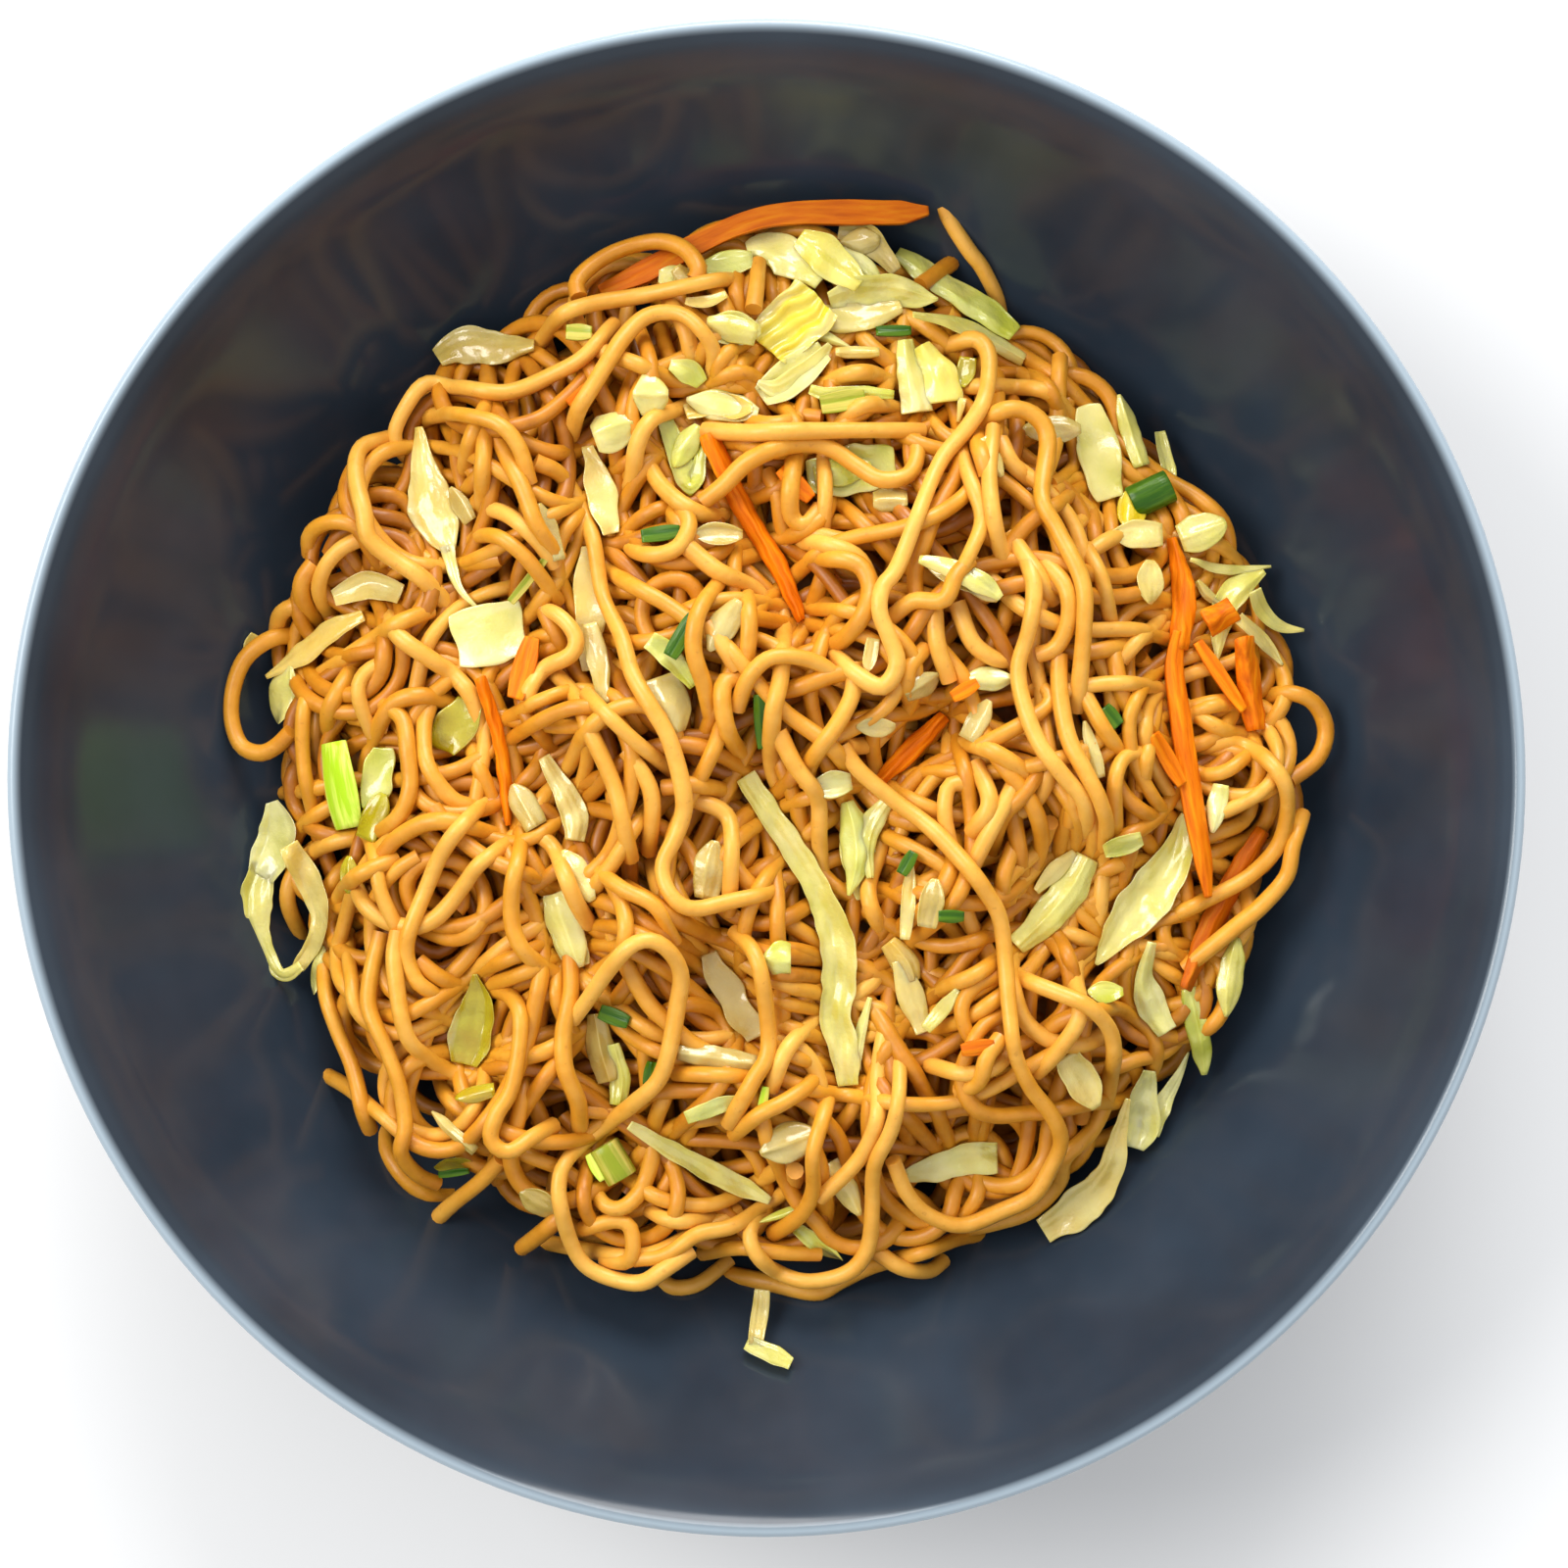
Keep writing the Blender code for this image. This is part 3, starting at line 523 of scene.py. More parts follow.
def add_piece(mesh, name, finish):
    """Makes a shown piece of the object from a finished mesh."""
    mesh.name = name
    mesh.materials.clear()
    mesh.materials.append(finish)
    made = bpy.data.objects.new(name, mesh)
    bpy.context.scene.collection.objects.link(made)
    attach(made, "root")
    return made


def put_values(mesh, name, kind, values):
    """Stores one value for each point of a mesh, under a name that its material reads."""
    layer = mesh.attributes.new(name, kind, "POINT")
    field = {"FLOAT": "value", "FLOAT_VECTOR": "vector", "FLOAT_COLOR": "color"}[kind]
    layer.data.foreach_set(field, np.ascontiguousarray(values, np.float32).ravel())


def points_of(mesh):
    points = np.empty(3 * len(mesh.vertices), np.float32)
    mesh.vertices.foreach_get("co", points)
    return points.reshape(-1, 3).astype(float)


def subdivided(bm, levels):
    """The smooth mesh that a Subdivision Surface makes of a bmesh, which it frees."""
    rough = bpy.data.meshes.new("rough")
    bm.to_mesh(rough)
    bm.free()
    helper = bpy.data.objects.new("rough", rough)
    bpy.context.scene.collection.objects.link(helper)
    if levels:
        modifier = helper.modifiers.new("smooth", "SUBSURF")
        modifier.levels = modifier.render_levels = levels
    bpy.context.view_layer.update()
    mesh = bpy.data.meshes.new_from_object(helper.evaluated_get(bpy.context.evaluated_depsgraph_get()))
    bpy.data.objects.remove(helper)
    mesh.shade_smooth()
    return mesh


def spun(profile, steps):
    """A closed solid turned about Z from (radius, height) points that start and end on the axis."""
    bm = bmesh.new()
    verts = [bm.verts.new((radius, 0.0, height)) for radius, height in profile]
    edges = [bm.edges.new(pair) for pair in zip(verts, verts[1:])]
    full_turn = {"cent": (0, 0, 0), "axis": (0, 0, 1), "angle": 2 * math.pi, "use_merge": True}
    bmesh.ops.spin(bm, geom=verts + edges, steps=steps, **full_turn)
    bmesh.ops.remove_doubles(bm, verts=bm.verts, dist=1e-6)
    bmesh.ops.recalc_face_normals(bm, faces=bm.faces)
    return bm


def lip_line(radius, height):
    """The round lip, from the inner wall's last point over the top to the outer wall."""
    middle = (radius + LIP_RADIUS * math.sin(RIM_SLOPE), height - LIP_RADIUS * math.cos(RIM_SLOPE))
    turns = [RIM_SLOPE + math.pi / 2 - math.pi * step / LIP_STEPS for step in range(1, LIP_STEPS + 1)]
    return [(middle[0] + LIP_RADIUS * math.cos(a), middle[1] + LIP_RADIUS * math.sin(a)) for a in turns]


def outer_line(inner):
    """The outside of the wall, from below the lip to the foot, thicker towards the foot."""
    line = []
    top = inner[-1][1]
    for radius, height, slope in reversed(inner[:-1]):
        wall = WALL_AT_FOOT + (WALL_AT_LIP - WALL_AT_FOOT) * (height - FLOOR_HEIGHT) / (top - FLOOR_HEIGHT)
        line.append((radius + wall * math.sin(slope), height - wall * math.cos(slope)))
    slope = math.asin((FOOT_RADIUS - FLOOR_RADIUS) / BELLY_BEND)
    under = FLOOR_HEIGHT + BELLY_BEND * (1 - math.cos(slope)) - WALL_AT_FOOT
    return [point for point in line if point[0] > FOOT_RADIUS + FOOT_WIDTH / 2] + [(FOOT_RADIUS, under)]


def foot_line():
    """The foot ring with round edges, from the outside to the middle of the hollow under the bowl."""
    sole = FOOT_RADIUS - FOOT_WIDTH
    turns = [math.pi / 2 * step / 4 for step in range(5)]
    outer = [(FOOT_RADIUS - FOOT_ROUND * (1 - math.cos(a)), FOOT_ROUND * (1 - math.sin(a))) for a in turns]
    inner = [(sole + FOOT_ROUND * (1 - math.sin(a)), FOOT_ROUND * (1 - math.cos(a))) for a in turns]
    hollow = [(sole, FOOT_HOLLOW - FOOT_ROUND), (sole - FOOT_ROUND, FOOT_HOLLOW), (0.0, FOOT_HOLLOW)]
    return outer + inner + hollow


def make_bowl():
    inner = inner_line()
    wall = [(radius, height) for radius, height, _ in inner]
    profile = [(0.0, FLOOR_HEIGHT)] + wall + lip_line(*wall[-1]) + outer_line(inner) + foot_line()
    mesh = bpy.data.meshes.new("glazed_bowl")
    bm = spun(profile, BOWL_SEGMENTS)
    bm.to_mesh(mesh)
    bm.free()
    mesh.shade_smooth()
    mesh.set_sharp_from_angle(angle=math.radians(50))
    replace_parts(add_piece(mesh, "glazed_bowl", GLAZE), "bowl")


def make_core():
    """The middle of the heap, which shows only deep between the noodles; its darker colour is painted shade.
    """
    dome = [(step / CORE_RINGS, 1.0) for step in range(CORE_RINGS)]
    bm = spun(dome + [(1.0, 0.0), (0.5, -1.0), (0.0, -1.0)], CORE_SEGMENTS)
    for vert in bm.verts:
        angle, on_dome = math.atan2(vert.co.y, vert.co.x), vert.co.z > 0.5
        out = CORE_INSIDE * math.hypot(vert.co.x, vert.co.y) * CORE_RADIUS * float(unevenness(angle))
        x = HEAP_MIDDLE[0] + out * math.cos(angle)
        y = HEAP_MIDDLE[1] + out * math.sin(angle)
        bed = float(wall_height(math.hypot(x, y))) + CORE_GAP
        vert.co = (x, y, max(bed, float(heap_form(x, y, CORE_TOP, CORE_RADIUS))) if on_dome else bed)
    bmesh.ops.recalc_face_normals(bm, faces=bm.faces)
    piece = add_piece(subdivided(bm, 1), "heap_core", core_finish())
    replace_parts(piece, "noodle_heap")


# Noodles.


class Noodles:
    """The noodles of one piece: each is laid, and all are made into one mesh at the end."""

    def __init__(self, name, sides, spacing):
        self.name, self.sides, self.spacing = name, sides, spacing
        self.strands = []

    def lay(self, plan, radius, shade, ceiling, dives=(0.0, 0.0)):
        floor = pile.under_ball(plan, radius) - SQUEEZE
        top = below(ceiling, plan, radius)
        height = floor.copy()
        sag = NOODLE_STEP**2 / (2 * SAG_RADIUS)
        for _ in range(SETTLE_ROUNDS):
            height[1:-1] = np.maximum(floor[1:-1], (height[:-2] + height[2:]) / 2 - sag)
            height[[0, -1]] = np.maximum(floor[[0, -1]], height[[1, -2]] - END_SLOPE * NOODLE_STEP)
        height = np.minimum(height, top)
        along = np.arange(len(height)) * NOODLE_STEP
        for end, dive in zip((along, along[::-1]), dives):
            height -= dive * np.clip(1 - end / DIVE_REACH, 0, 1) ** 1.5
        for _ in range(EASING_ROUNDS):
            height[1:-1] = (height[:-2] + 2 * height[1:-1] + height[2:]) / 4
        path = np.column_stack([plan, height])
        pile.add_tube(path, radius)
        self.strands.append((evenly(path, self.spacing), radius, shade))

    def make(self, seed):
        draw = random.Random(seed)
        curve = bpy.data.curves.new(self.name, "CURVE")
        curve.dimensions = "3D"
        curve.bevel_depth = 1.0
        curve.bevel_resolution = self.sides // 2 - 2
        curve.use_fill_caps = True
        shades, tips = [], []
        for path, radius, shade in self.strands:
            spline = curve.splines.new("POLY")
            spline.points.add(len(path) - 1)
            spline.points.foreach_set("co", np.column_stack([path, np.ones(len(path))]).ravel())
            along = np.arange(len(path)) * self.spacing
            swell = sum(share * np.sin(along / length + draw.uniform(0, 6)) for share, length in SWELLS)
            spline.points.foreach_set("radius", radius * (1 + swell))
            shades.append(shade + 0.10 * np.sin(along / 0.02 + draw.uniform(0, 6)))
            tips.append(np.clip(1 - np.minimum(along, along[::-1]) / TIP_REACH, 0, 1))
        drawn = bpy.data.objects.new(self.name, curve)
        bpy.context.scene.collection.objects.link(drawn)
        bpy.context.view_layer.update()
        mesh = bpy.data.meshes.new_from_object(drawn.evaluated_get(bpy.context.evaluated_depsgraph_get()))
        bpy.data.objects.remove(drawn)
        for name, values in (("shade", shades), ("tip", tips)):
            caps = [strand[[-1, 0]] for strand in reversed(values)]
            put_values(mesh, name, "FLOAT", np.repeat(np.concatenate(caps + values), self.sides))
        bm = bmesh.new()
        bm.from_mesh(mesh)
        bmesh.ops.remove_doubles(bm, verts=bm.verts, dist=1e-6)
        bm.to_mesh(mesh)
        bm.free()
        mesh.shade_smooth()
        mesh.set_sharp_from_angle(angle=math.radians(60))
        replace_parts(add_piece(mesh, self.name, FRIED), "noodle_heap")


def wander(draw, length, upright):
    """The plan of a noodle that bends to and fro and turns back before the heap's edge."""
    out = 0.97 * HEAP_RADIUS * math.sqrt(draw.random())
    angle = draw.uniform(0, 2 * math.pi)
    start = Vector((HEAP_MIDDLE[0] + out * math.cos(angle), HEAP_MIDDLE[1] + out * math.sin(angle)))
    heading = draw.gauss(-math.pi / 2, 0.6) if draw.random() < upright else draw.uniform(0, 2 * math.pi)
    path, bend = [start], draw.uniform(-0.3, 0.3)
    loopy = draw.uniform(0.12, 0.34)
    for _ in range(round(length / WANDER_STEP)):
        bend = 0.8 * bend + draw.uniform(-loopy, loopy)
        inward = Vector(HEAP_MIDDLE) - path[-1]
        if inward.length > 0.93 * HEAP_RADIUS:
            home = math.atan2(inward.y, inward.x) - heading
            bend = math.copysign(0.5, math.sin(home))
        heading += bend
        path.append(path[-1] + WANDER_STEP * Vector((math.cos(heading), math.sin(heading))))
    return smooth(path, NOODLE_STEP)


def beside(plan, offset):
    """The plan of a noodle that runs beside another."""
    ahead = np.gradient(plan, axis=0)
    sideways = ahead[:, ::-1] * (-1, 1) / np.linalg.norm(ahead, axis=1)[:, None]
    return smooth((plan + offset[:, None] * sideways)[::5], NOODLE_STEP)


def room_for(known):
    """How far these noodles will raise the pile, on the average round each spot."""
    layers = np.zeros(GRID_X.shape)
    i, j, _ = cells_within(NOODLE_RADIUS)
    for _, pixels in known:
        touched = np.zeros(GRID_X.shape, bool)
        cells = cells_of(smooth([spot(*pixel) for pixel in pixels], NOODLE_STEP))
        touched[cells[:, :1] + i, cells[:, 1:] + j] = True
        layers += touched
    near = np.ones(2 * round(ROOM_REACH / GRID) + 1)
    for axis in (0, 1):
        layers = np.apply_along_axis(np.convolve, axis, layers, near / len(near), mode="same")
    return 2 * NOODLE_RADIUS * layers


def fill(noodles, count, ceiling, rise, upright, shades, lengths, seed):
    """Lays noodles one by one, each the best of a few plans: where the heap is low and no leaf is hit."""
    draw = random.Random(seed)
    target = heap_form(GRID_X, GRID_Y, HEAP_TOP, HEAP_RADIUS) + rise - room
    laid = 0
    while laid < count:
        plans = [wander(draw, draw.uniform(*lengths), upright) for _ in range(CANDIDATES)]
        best, best_worth = plans[0], -1.0
        for plan in plans:
            cells = cells_of(plan)
            lack = target[cells[:, 0], cells[:, 1]] - pile.height[cells[:, 0], cells[:, 1]]
            open_height = below(ceiling, plan, NOODLE_RADIUS)
            squeezed = np.maximum(pile.under_ball(plan, NOODLE_RADIUS) - open_height, 0)
            worth = lack.mean() + 1.5 * np.minimum(lack, 0).mean() - 4.0 * squeezed.mean()
            if worth > best_worth:
                best, best_worth = plan, worth
        shade = draw.uniform(*shades)
        radius = NOODLE_RADIUS * draw.uniform(0.93, 1.07)
        dives = [draw.choice((0.0015, 0.0045, 0.0055)) for _ in range(2)]
        noodles.lay(best, radius, shade, ceiling, dives)
        laid += 1
        if draw.random() < 0.45 and laid < count:
            side = draw.choice((-1, 1)) * 2.05 * NOODLE_RADIUS
            first, last = sorted(draw.sample(range(len(best)), 2))
            if last - first > 35:
                part = best[first:last]
                drift = side * (1 + draw.uniform(0.0, 0.8) * np.linspace(0, 1, len(part)) ** 2)
                noodles.lay(beside(part, drift), radius, shade + draw.uniform(-0.12, 0.12), ceiling, dives)
                laid += 1


def lay_known(noodles, known, ceiling):
    for name, pixels in known:
        draw = random.Random(name)
        plan = smooth([spot(*pixel) for pixel in pixels], NOODLE_STEP)
        radius = NOODLE_RADIUS * draw.uniform(0.97, 1.08)
        # These noodles take bright shades, lighter than the layers under them: partly their own colour,
        # partly painted light for lying on top.
        noodles.lay(plan, radius, draw.uniform(0.5, 0.9), ceiling, (SHOWN_DIVE, SHOWN_DIVE))


# The noodles whose shape stands out, through pixels of the photograph, from the lowest to the highest.
KNOWN_NOODLES = [
    ("upper_middle_hook", [(811, 460), (806, 506), (808, 528), (822, 536), (836, 518)]),
    ("upper_middle_straight", [(840, 462), (842, 500), (840, 540)]),
    ("upper_middle_fall", [(783, 480), (794, 506), (798, 534), (810, 562), (838, 577)]),
    ("upper_middle_left", [(763, 492), (770, 520), (780, 548)]),
    ("upper_middle_stub", [(818, 538), (838, 546), (861, 552)]),
    ("upper_middle_arc", [(814, 551), (843, 557), (875, 570), (890, 597)]),
    ("upper_right_fall", [(980, 462), (990, 496), (1000, 532), (988, 566), (970, 600)]),
    ("upper_right_slope", [(1020, 452), (1030, 474), (1050, 492)]),
    ("right_shoulder_run", [(1030, 548), (1050, 580), (1072, 614)]),
    ("right_shoulder_fall", [(1106, 560), (1120, 590), (1132, 634)]),
    ("right_inner_long", [(1100, 700), (1122, 742), (1144, 772)]),
    ("right_inner_stub", [(1106, 760), (1096, 800), (1090, 840)]),
    ("right_middle_arc", [(961, 759), (998, 762), (1031, 779), (1048, 795)]),
    ("right_middle_fall", [(1058, 789), (1041, 812), (1021, 835), (1011, 875)]),
    ("right_middle_slope", [(1034, 799), (1011, 842), (988, 888)]),
    ("right_middle_double", [(1071, 839), (1061, 865), (1028, 895), (1015, 918)]),
    ("right_middle_back", [(1091, 842), (1087, 865), (1058, 885), (1031, 912), (1028, 948)]),
    ("right_middle_bend", [(995, 779), (1008, 819), (991, 849)]),
    ("right_centre_fall", [(971, 719), (968, 772), (955, 792)]),
    ("right_centre_rise", [(998, 762), (1041, 739), (1068, 719), (1064, 703), (1048, 703)]),
    ("upper_centre_drop", [(942, 663), (925, 686), (928, 713), (945, 729)]),
    ("upper_centre_fall", [(952, 620), (955, 659), (968, 696)]),
    ("upper_centre_bend", [(975, 616), (991, 656), (1015, 673), (1034, 673)]),
    ("left_centre_straight", [(762, 603), (765, 640), (762, 679)]),
    ("left_centre_slope", [(723, 640), (740, 662), (753, 683)]),
    ("right_low_run", [(1034, 862), (1022, 900), (1030, 938)]),
    ("right_low_curve", [(1080, 850), (1064, 880), (1036, 912), (1028, 940)]),
    ("low_right_bar", [(948, 1086), (985, 1092), (1016, 1084), (1034, 1060)]),
    ("low_right_run", [(920, 1172), (960, 1174), (1000, 1160), (1010, 1142)]),
    ("low_right_hook", [(976, 1110), (996, 1100), (1004, 1074), (1018, 1056)]),
    ("low_middle_run", [(686, 1166), (716, 1178), (728, 1170)]),
    ("low_middle_bar", [(690, 1094), (720, 1094), (770, 1096)]),
    ("bottom_run_left", [(547, 1270), (599, 1272), (658, 1272), (706, 1256), (753, 1236)]),
    ("bottom_run_right", [(733, 1302), (777, 1309), (832, 1321), (856, 1309), (895, 1288), (967, 1264),
                          (1006, 1262)]),
    ("bottom_run_middle", [(717, 1276), (757, 1268), (800, 1272), (836, 1274)]),
    ("bottom_loop", [(676, 1289), (672, 1305), (686, 1316), (710, 1313), (729, 1300), (745, 1286)]),
    ("bottom_bend", [(597, 1248), (630, 1240), (646, 1248), (646, 1276), (619, 1280)]),
    ("bottom_left_end", [(532, 1274), (556, 1252), (579, 1232)]),
    ("bottom_stub", [(662, 1232), (686, 1240), (729, 1242)]),
    ("shoulder_arch", [(375, 548), (365, 538), (341, 536), (322, 548), (319, 567)]),
    ("shoulder_fall", [(373, 550), (351, 562), (334, 582), (327, 606), (336, 630)]),
    ("shoulder_outer", [(324, 577), (312, 596), (312, 616), (324, 640)]),
    ("shoulder_edge", [(281, 648), (290, 626), (312, 616)]),
    ("shoulder_run", [(414, 538), (424, 562), (448, 575), (482, 575), (511, 570)]),
    ("shoulder_wave", [(467, 562), (487, 548), (511, 550), (535, 567), (555, 592), (569, 613)]),
    ("shoulder_long", [(492, 517), (521, 528), (550, 553), (567, 577)]),
    ("upper_left_run", [(502, 408), (485, 450), (464, 502)]),
    ("upper_left_drop", [(499, 438), (496, 480), (492, 524)]),
    ("upper_left_slope", [(511, 452), (535, 499), (550, 538), (571, 570)]),
    ("left_inner_bend", [(392, 676), (374, 688), (368, 710), (380, 750)]),
    ("left_inner_fall", [(358, 684), (346, 708), (336, 732), (336, 756)]),
    ("left_long_fall", [(317, 700), (312, 732), (312, 780), (322, 846)]),
    ("left_stub", [(358, 732), (376, 736), (396, 742)]),
    ("left_middle_fall", [(438, 720), (433, 742), (438, 780), (462, 815), (484, 824)]),
    ("left_middle_run", [(506, 700), (496, 742), (491, 780), (484, 821)]),
    ("left_fall", [(394, 625), (409, 650), (439, 672), (466, 692), (484, 719), (494, 769)]),
    ("left_hook", [(359, 841), (377, 856), (387, 881), (394, 913), (414, 960)]),
    ("lower_left_deep", [(392, 950), (384, 987), (382, 1025), (399, 1064), (414, 1104), (421, 1144),
                         (417, 1169), (431, 1194), (449, 1204)]),
    ("lower_left_edge", [(329, 1099), (359, 1109), (394, 1129), (417, 1149)]),
    ("lower_left_tail", [(387, 1154), (394, 1179), (419, 1211), (444, 1224), (459, 1221)]),
    ("lower_middle_fall", [(581, 975), (583, 1012), (576, 1054), (578, 1089), (591, 1124), (591, 1161)]),
    ("middle_fall", [(749, 950), (769, 970), (779, 1005), (784, 1069), (769, 1099), (744, 1144)]),
    ("lower_branch", [(834, 1069), (831, 1099), (804, 1119), (774, 1134), (749, 1156)]),
    ("low_bend", [(871, 1112), (849, 1114), (839, 1139), (829, 1174), (829, 1211), (816, 1236), (789, 1256)]),
    ("low_sweep", [(913, 1015), (903, 1054), (896, 1099), (894, 1139), (876, 1179), (836, 1219)]),
    ("inner_right_fall", [(1045, 570), (1052, 602), (1047, 645), (1037, 682), (1042, 719), (1057, 759),
                          (1079, 789), (1102, 816), (1107, 844), (1102, 866)]),
    ("right_short_loop", [(1062, 575), (1084, 602), (1087, 635), (1075, 662), (1057, 669)]),
    ("right_edge_fall", [(1179, 572), (1191, 600), (1184, 632), (1159, 655), (1142, 674)]),
    ("right_inner_run", [(1164, 670), (1181, 694), (1179, 729), (1169, 764), (1164, 804)]),
    ("right_inner_hook", [(1167, 767), (1144, 774), (1134, 801), (1137, 851)]),
    ("upper_double", [(1012, 439), (1007, 489), (1012, 538), (1025, 580)]),
    ("upper_right_back", [(1030, 374), (1052, 379), (1075, 409), (1092, 439), (1099, 469), (1087, 486),
                          (1070, 496)]),
    ("upper_right_curl", [(1072, 506), (1092, 489), (1114, 489), (1117, 513), (1102, 533), (1089, 546)]),
    ("upper_left_arch", [(553, 380), (541, 372), (548, 350), (573, 329), (610, 314), (650, 306),
                         (700, 297), (759, 284)]),
    ("top_hook", [(789, 362), (764, 364), (754, 379), (769, 396), (814, 421), (839, 426)]),
    ("top_wave", [(819, 414), (836, 396), (861, 384), (894, 382), (918, 394)]),
    ("middle_curl", [(660, 471), (675, 496), (700, 518), (724, 526), (747, 516), (759, 498)]),
    ("middle_hook", [(637, 526), (642, 556), (665, 568), (692, 561), (704, 538), (697, 521)]),
    ("middle_run", [(700, 558), (734, 585), (769, 600), (784, 620), (797, 645)]),
    ("middle_loop", [(814, 570), (869, 575), (886, 597), (881, 627), (864, 650), (849, 660)]),
    ("centre_back", [(734, 595), (714, 627), (709, 665), (719, 699), (727, 734)]),
    ("left_double_a", [(600, 709), (650, 757), (690, 789)]),
    ("left_double_b", [(600, 739), (620, 781), (632, 814), (645, 876)]),
    ("left_double_c", [(640, 767), (660, 794), (667, 821), (662, 869)]),
    ("centre_low_run", [(709, 816), (739, 829), (747, 856), (744, 931)]),
    ("centre_low_left", [(605, 883), (637, 906), (670, 923), (690, 960)]),
    ("centre_right_fall", [(906, 824), (899, 864), (886, 906), (894, 938), (913, 960)]),
    ("right_of_centre", [(990, 801), (968, 801), (963, 831), (971, 869)]),
    ("low_arc", [(650, 1276), (682, 1271), (712, 1253), (749, 1246), (787, 1226), (809, 1209), (811, 1191)]),
    ("bottom_tail", [(889, 1268), (918, 1288), (948, 1296), (963, 1288)]),
    ("low_left_cross", [(600, 1186), (612, 1219), (632, 1229), (652, 1216), (665, 1184), (667, 1149),
                        (682, 1109)]),
    ("centre_cross", [(896, 965), (896, 995), (874, 1015), (839, 1037), (804, 1067), (787, 1109)]),
    ("straight_end", [(441, 1249), (464, 1226), (494, 1201), (514, 1179)]),
    ("left_run", [(407, 876), (369, 893), (344, 918), (332, 960), (332, 1000), (349, 1050), (367, 1089),
                  (382, 1149)]),
    ("left_straight", [(307, 697), (344, 677), (394, 645), (439, 622)]),
    ("left_loop", [(310, 650), (285, 650), (252, 669), (237, 699), (235, 734), (247, 761), (270, 769),
                   (287, 761), (300, 747)]),
    ("left_bends", [(392, 719), (412, 734), (419, 769), (421, 806), (409, 834), (384, 851), (354, 856),
                    (324, 866), (302, 886), (295, 918), (305, 960)]),
    ("left_arch", [(533, 859), (501, 851), (469, 839), (439, 839), (409, 854), (394, 871)]),
    ("left_big_loop", [(509, 801), (481, 834), (456, 866), (441, 898), (419, 960), (426, 995), (444, 1012),
                       (471, 1032)]),
    ("left_short_bend", [(531, 615), (568, 627), (588, 650), (583, 669), (556, 682), (541, 704), (538, 729)]),
    ("centre_left_bend", [(531, 841), (561, 861), (576, 888), (588, 918), (601, 943)]),
    ("lower_left_loop", [(409, 950), (407, 982), (419, 1050), (439, 1077), (469, 1097), (499, 1099),
                         (519, 1089)]),
    ("lower_left_hook", [(429, 980), (459, 1002), (494, 1010), (519, 1015), (533, 1040), (526, 1104),
                         (511, 1132), (506, 1156), (523, 1169), (546, 1156), (566, 1147)]),
    ("upper_left_fall", [(398, 448), (374, 461), (369, 488), (377, 526), (384, 556), (431, 590), (454, 615),
                         (469, 630)]),
    ("upper_left_second", [(424, 431), (444, 424), (479, 429), (514, 439), (533, 461), (543, 496)]),
    ("upper_left_bend", [(627, 332), (600, 366), (568, 384), (518, 404), (469, 398), (439, 394), (417, 419),
                         (404, 446), (412, 464), (424, 469)]),
    ("top_left_loop", [(593, 309), (591, 294), (610, 275), (637, 260), (672, 252), (700, 260), (714, 280),
                       (709, 290)]),
    ("big_curl", [(578, 454), (590, 425), (605, 402), (622, 375), (640, 347), (662, 327), (692, 324),
                  (714, 339), (729, 364), (719, 394), (695, 414), (665, 431), (650, 459), (645, 489),
                  (630, 518)]),
    ("upper_bow", [(859, 431), (879, 416), (911, 414), (943, 429), (968, 444)]),
    ("top_strand", [(963, 205), (973, 227), (990, 255), (1002, 270), (1017, 299), (1022, 314)]),
    ("right_hook", [(1005, 488), (997, 454), (1005, 431), (1030, 421), (1055, 429), (1067, 454), (1060, 511),
                    (1075, 543), (1099, 595), (1102, 640), (1097, 724)]),
    ("centre_s", [(908, 632), (931, 615), (961, 615), (973, 590), (988, 575)]),
    ("centre_upright", [(762, 570), (789, 590), (799, 620), (797, 689), (789, 729), (787, 781), (799, 814),
                        (811, 844)]),
    ("centre_loop", [(754, 692), (739, 699), (739, 729), (749, 759), (767, 774), (779, 769)]),
    ("centre_ring", [(752, 724), (764, 694), (784, 674), (811, 672), (836, 679), (856, 694)]),
    ("centre_right_s", [(871, 679), (869, 709), (854, 739), (836, 764), (821, 784)]),
    ("centre_bar", [(677, 804), (712, 801), (749, 811)]),
    ("centre_right_bar", [(931, 739), (906, 744), (889, 759), (864, 762)]),
    ("centre_fall", [(794, 747), (811, 781), (834, 814), (836, 856), (841, 906), (851, 938)]),
    ("right_upright", [(1079, 669), (1079, 707), (1087, 754), (1104, 789), (1119, 819), (1127, 856),
                       (1119, 960), (1097, 987), (1097, 1032), (1079, 1064), (1055, 1092)]),
    ("right_ring", [(1288, 717), (1308, 707), (1336, 717), (1351, 744), (1341, 774), (1313, 796)]),
    ("right_arc", [(1221, 767), (1249, 757), (1279, 767), (1301, 794), (1308, 824), (1301, 861), (1276, 891),
                   (1244, 911), (1204, 931), (1179, 943)]),
    ("right_edge", [(1326, 831), (1313, 861), (1306, 893), (1283, 923), (1254, 948), (1209, 987)]),
    ("right_low_loop", [(1020, 982), (1042, 997), (1075, 1010), (1104, 1022), (1127, 1047), (1132, 1079),
                        (1129, 1119), (1114, 1151), (1084, 1179), (1079, 1204), (1055, 1233), (1017, 1246),
                        (985, 1253)]),
    ("bottom_left_loop", [(585, 1040), (600, 1020), (625, 985), (650, 960), (675, 960), (695, 987),
                          (692, 1025), (677, 1092), (650, 1122), (620, 1147), (581, 1180), (573, 1204),
                          (577, 1230), (587, 1260), (600, 1285), (625, 1298), (657, 1301), (682, 1283),
                          (707, 1268)]),
    ("bottom_arc", [(918, 1069), (916, 1112), (908, 1149), (891, 1186), (889, 1229), (884, 1266), (864, 1291),
                    (824, 1301), (789, 1288), (767, 1263), (769, 1244), (787, 1241)]),
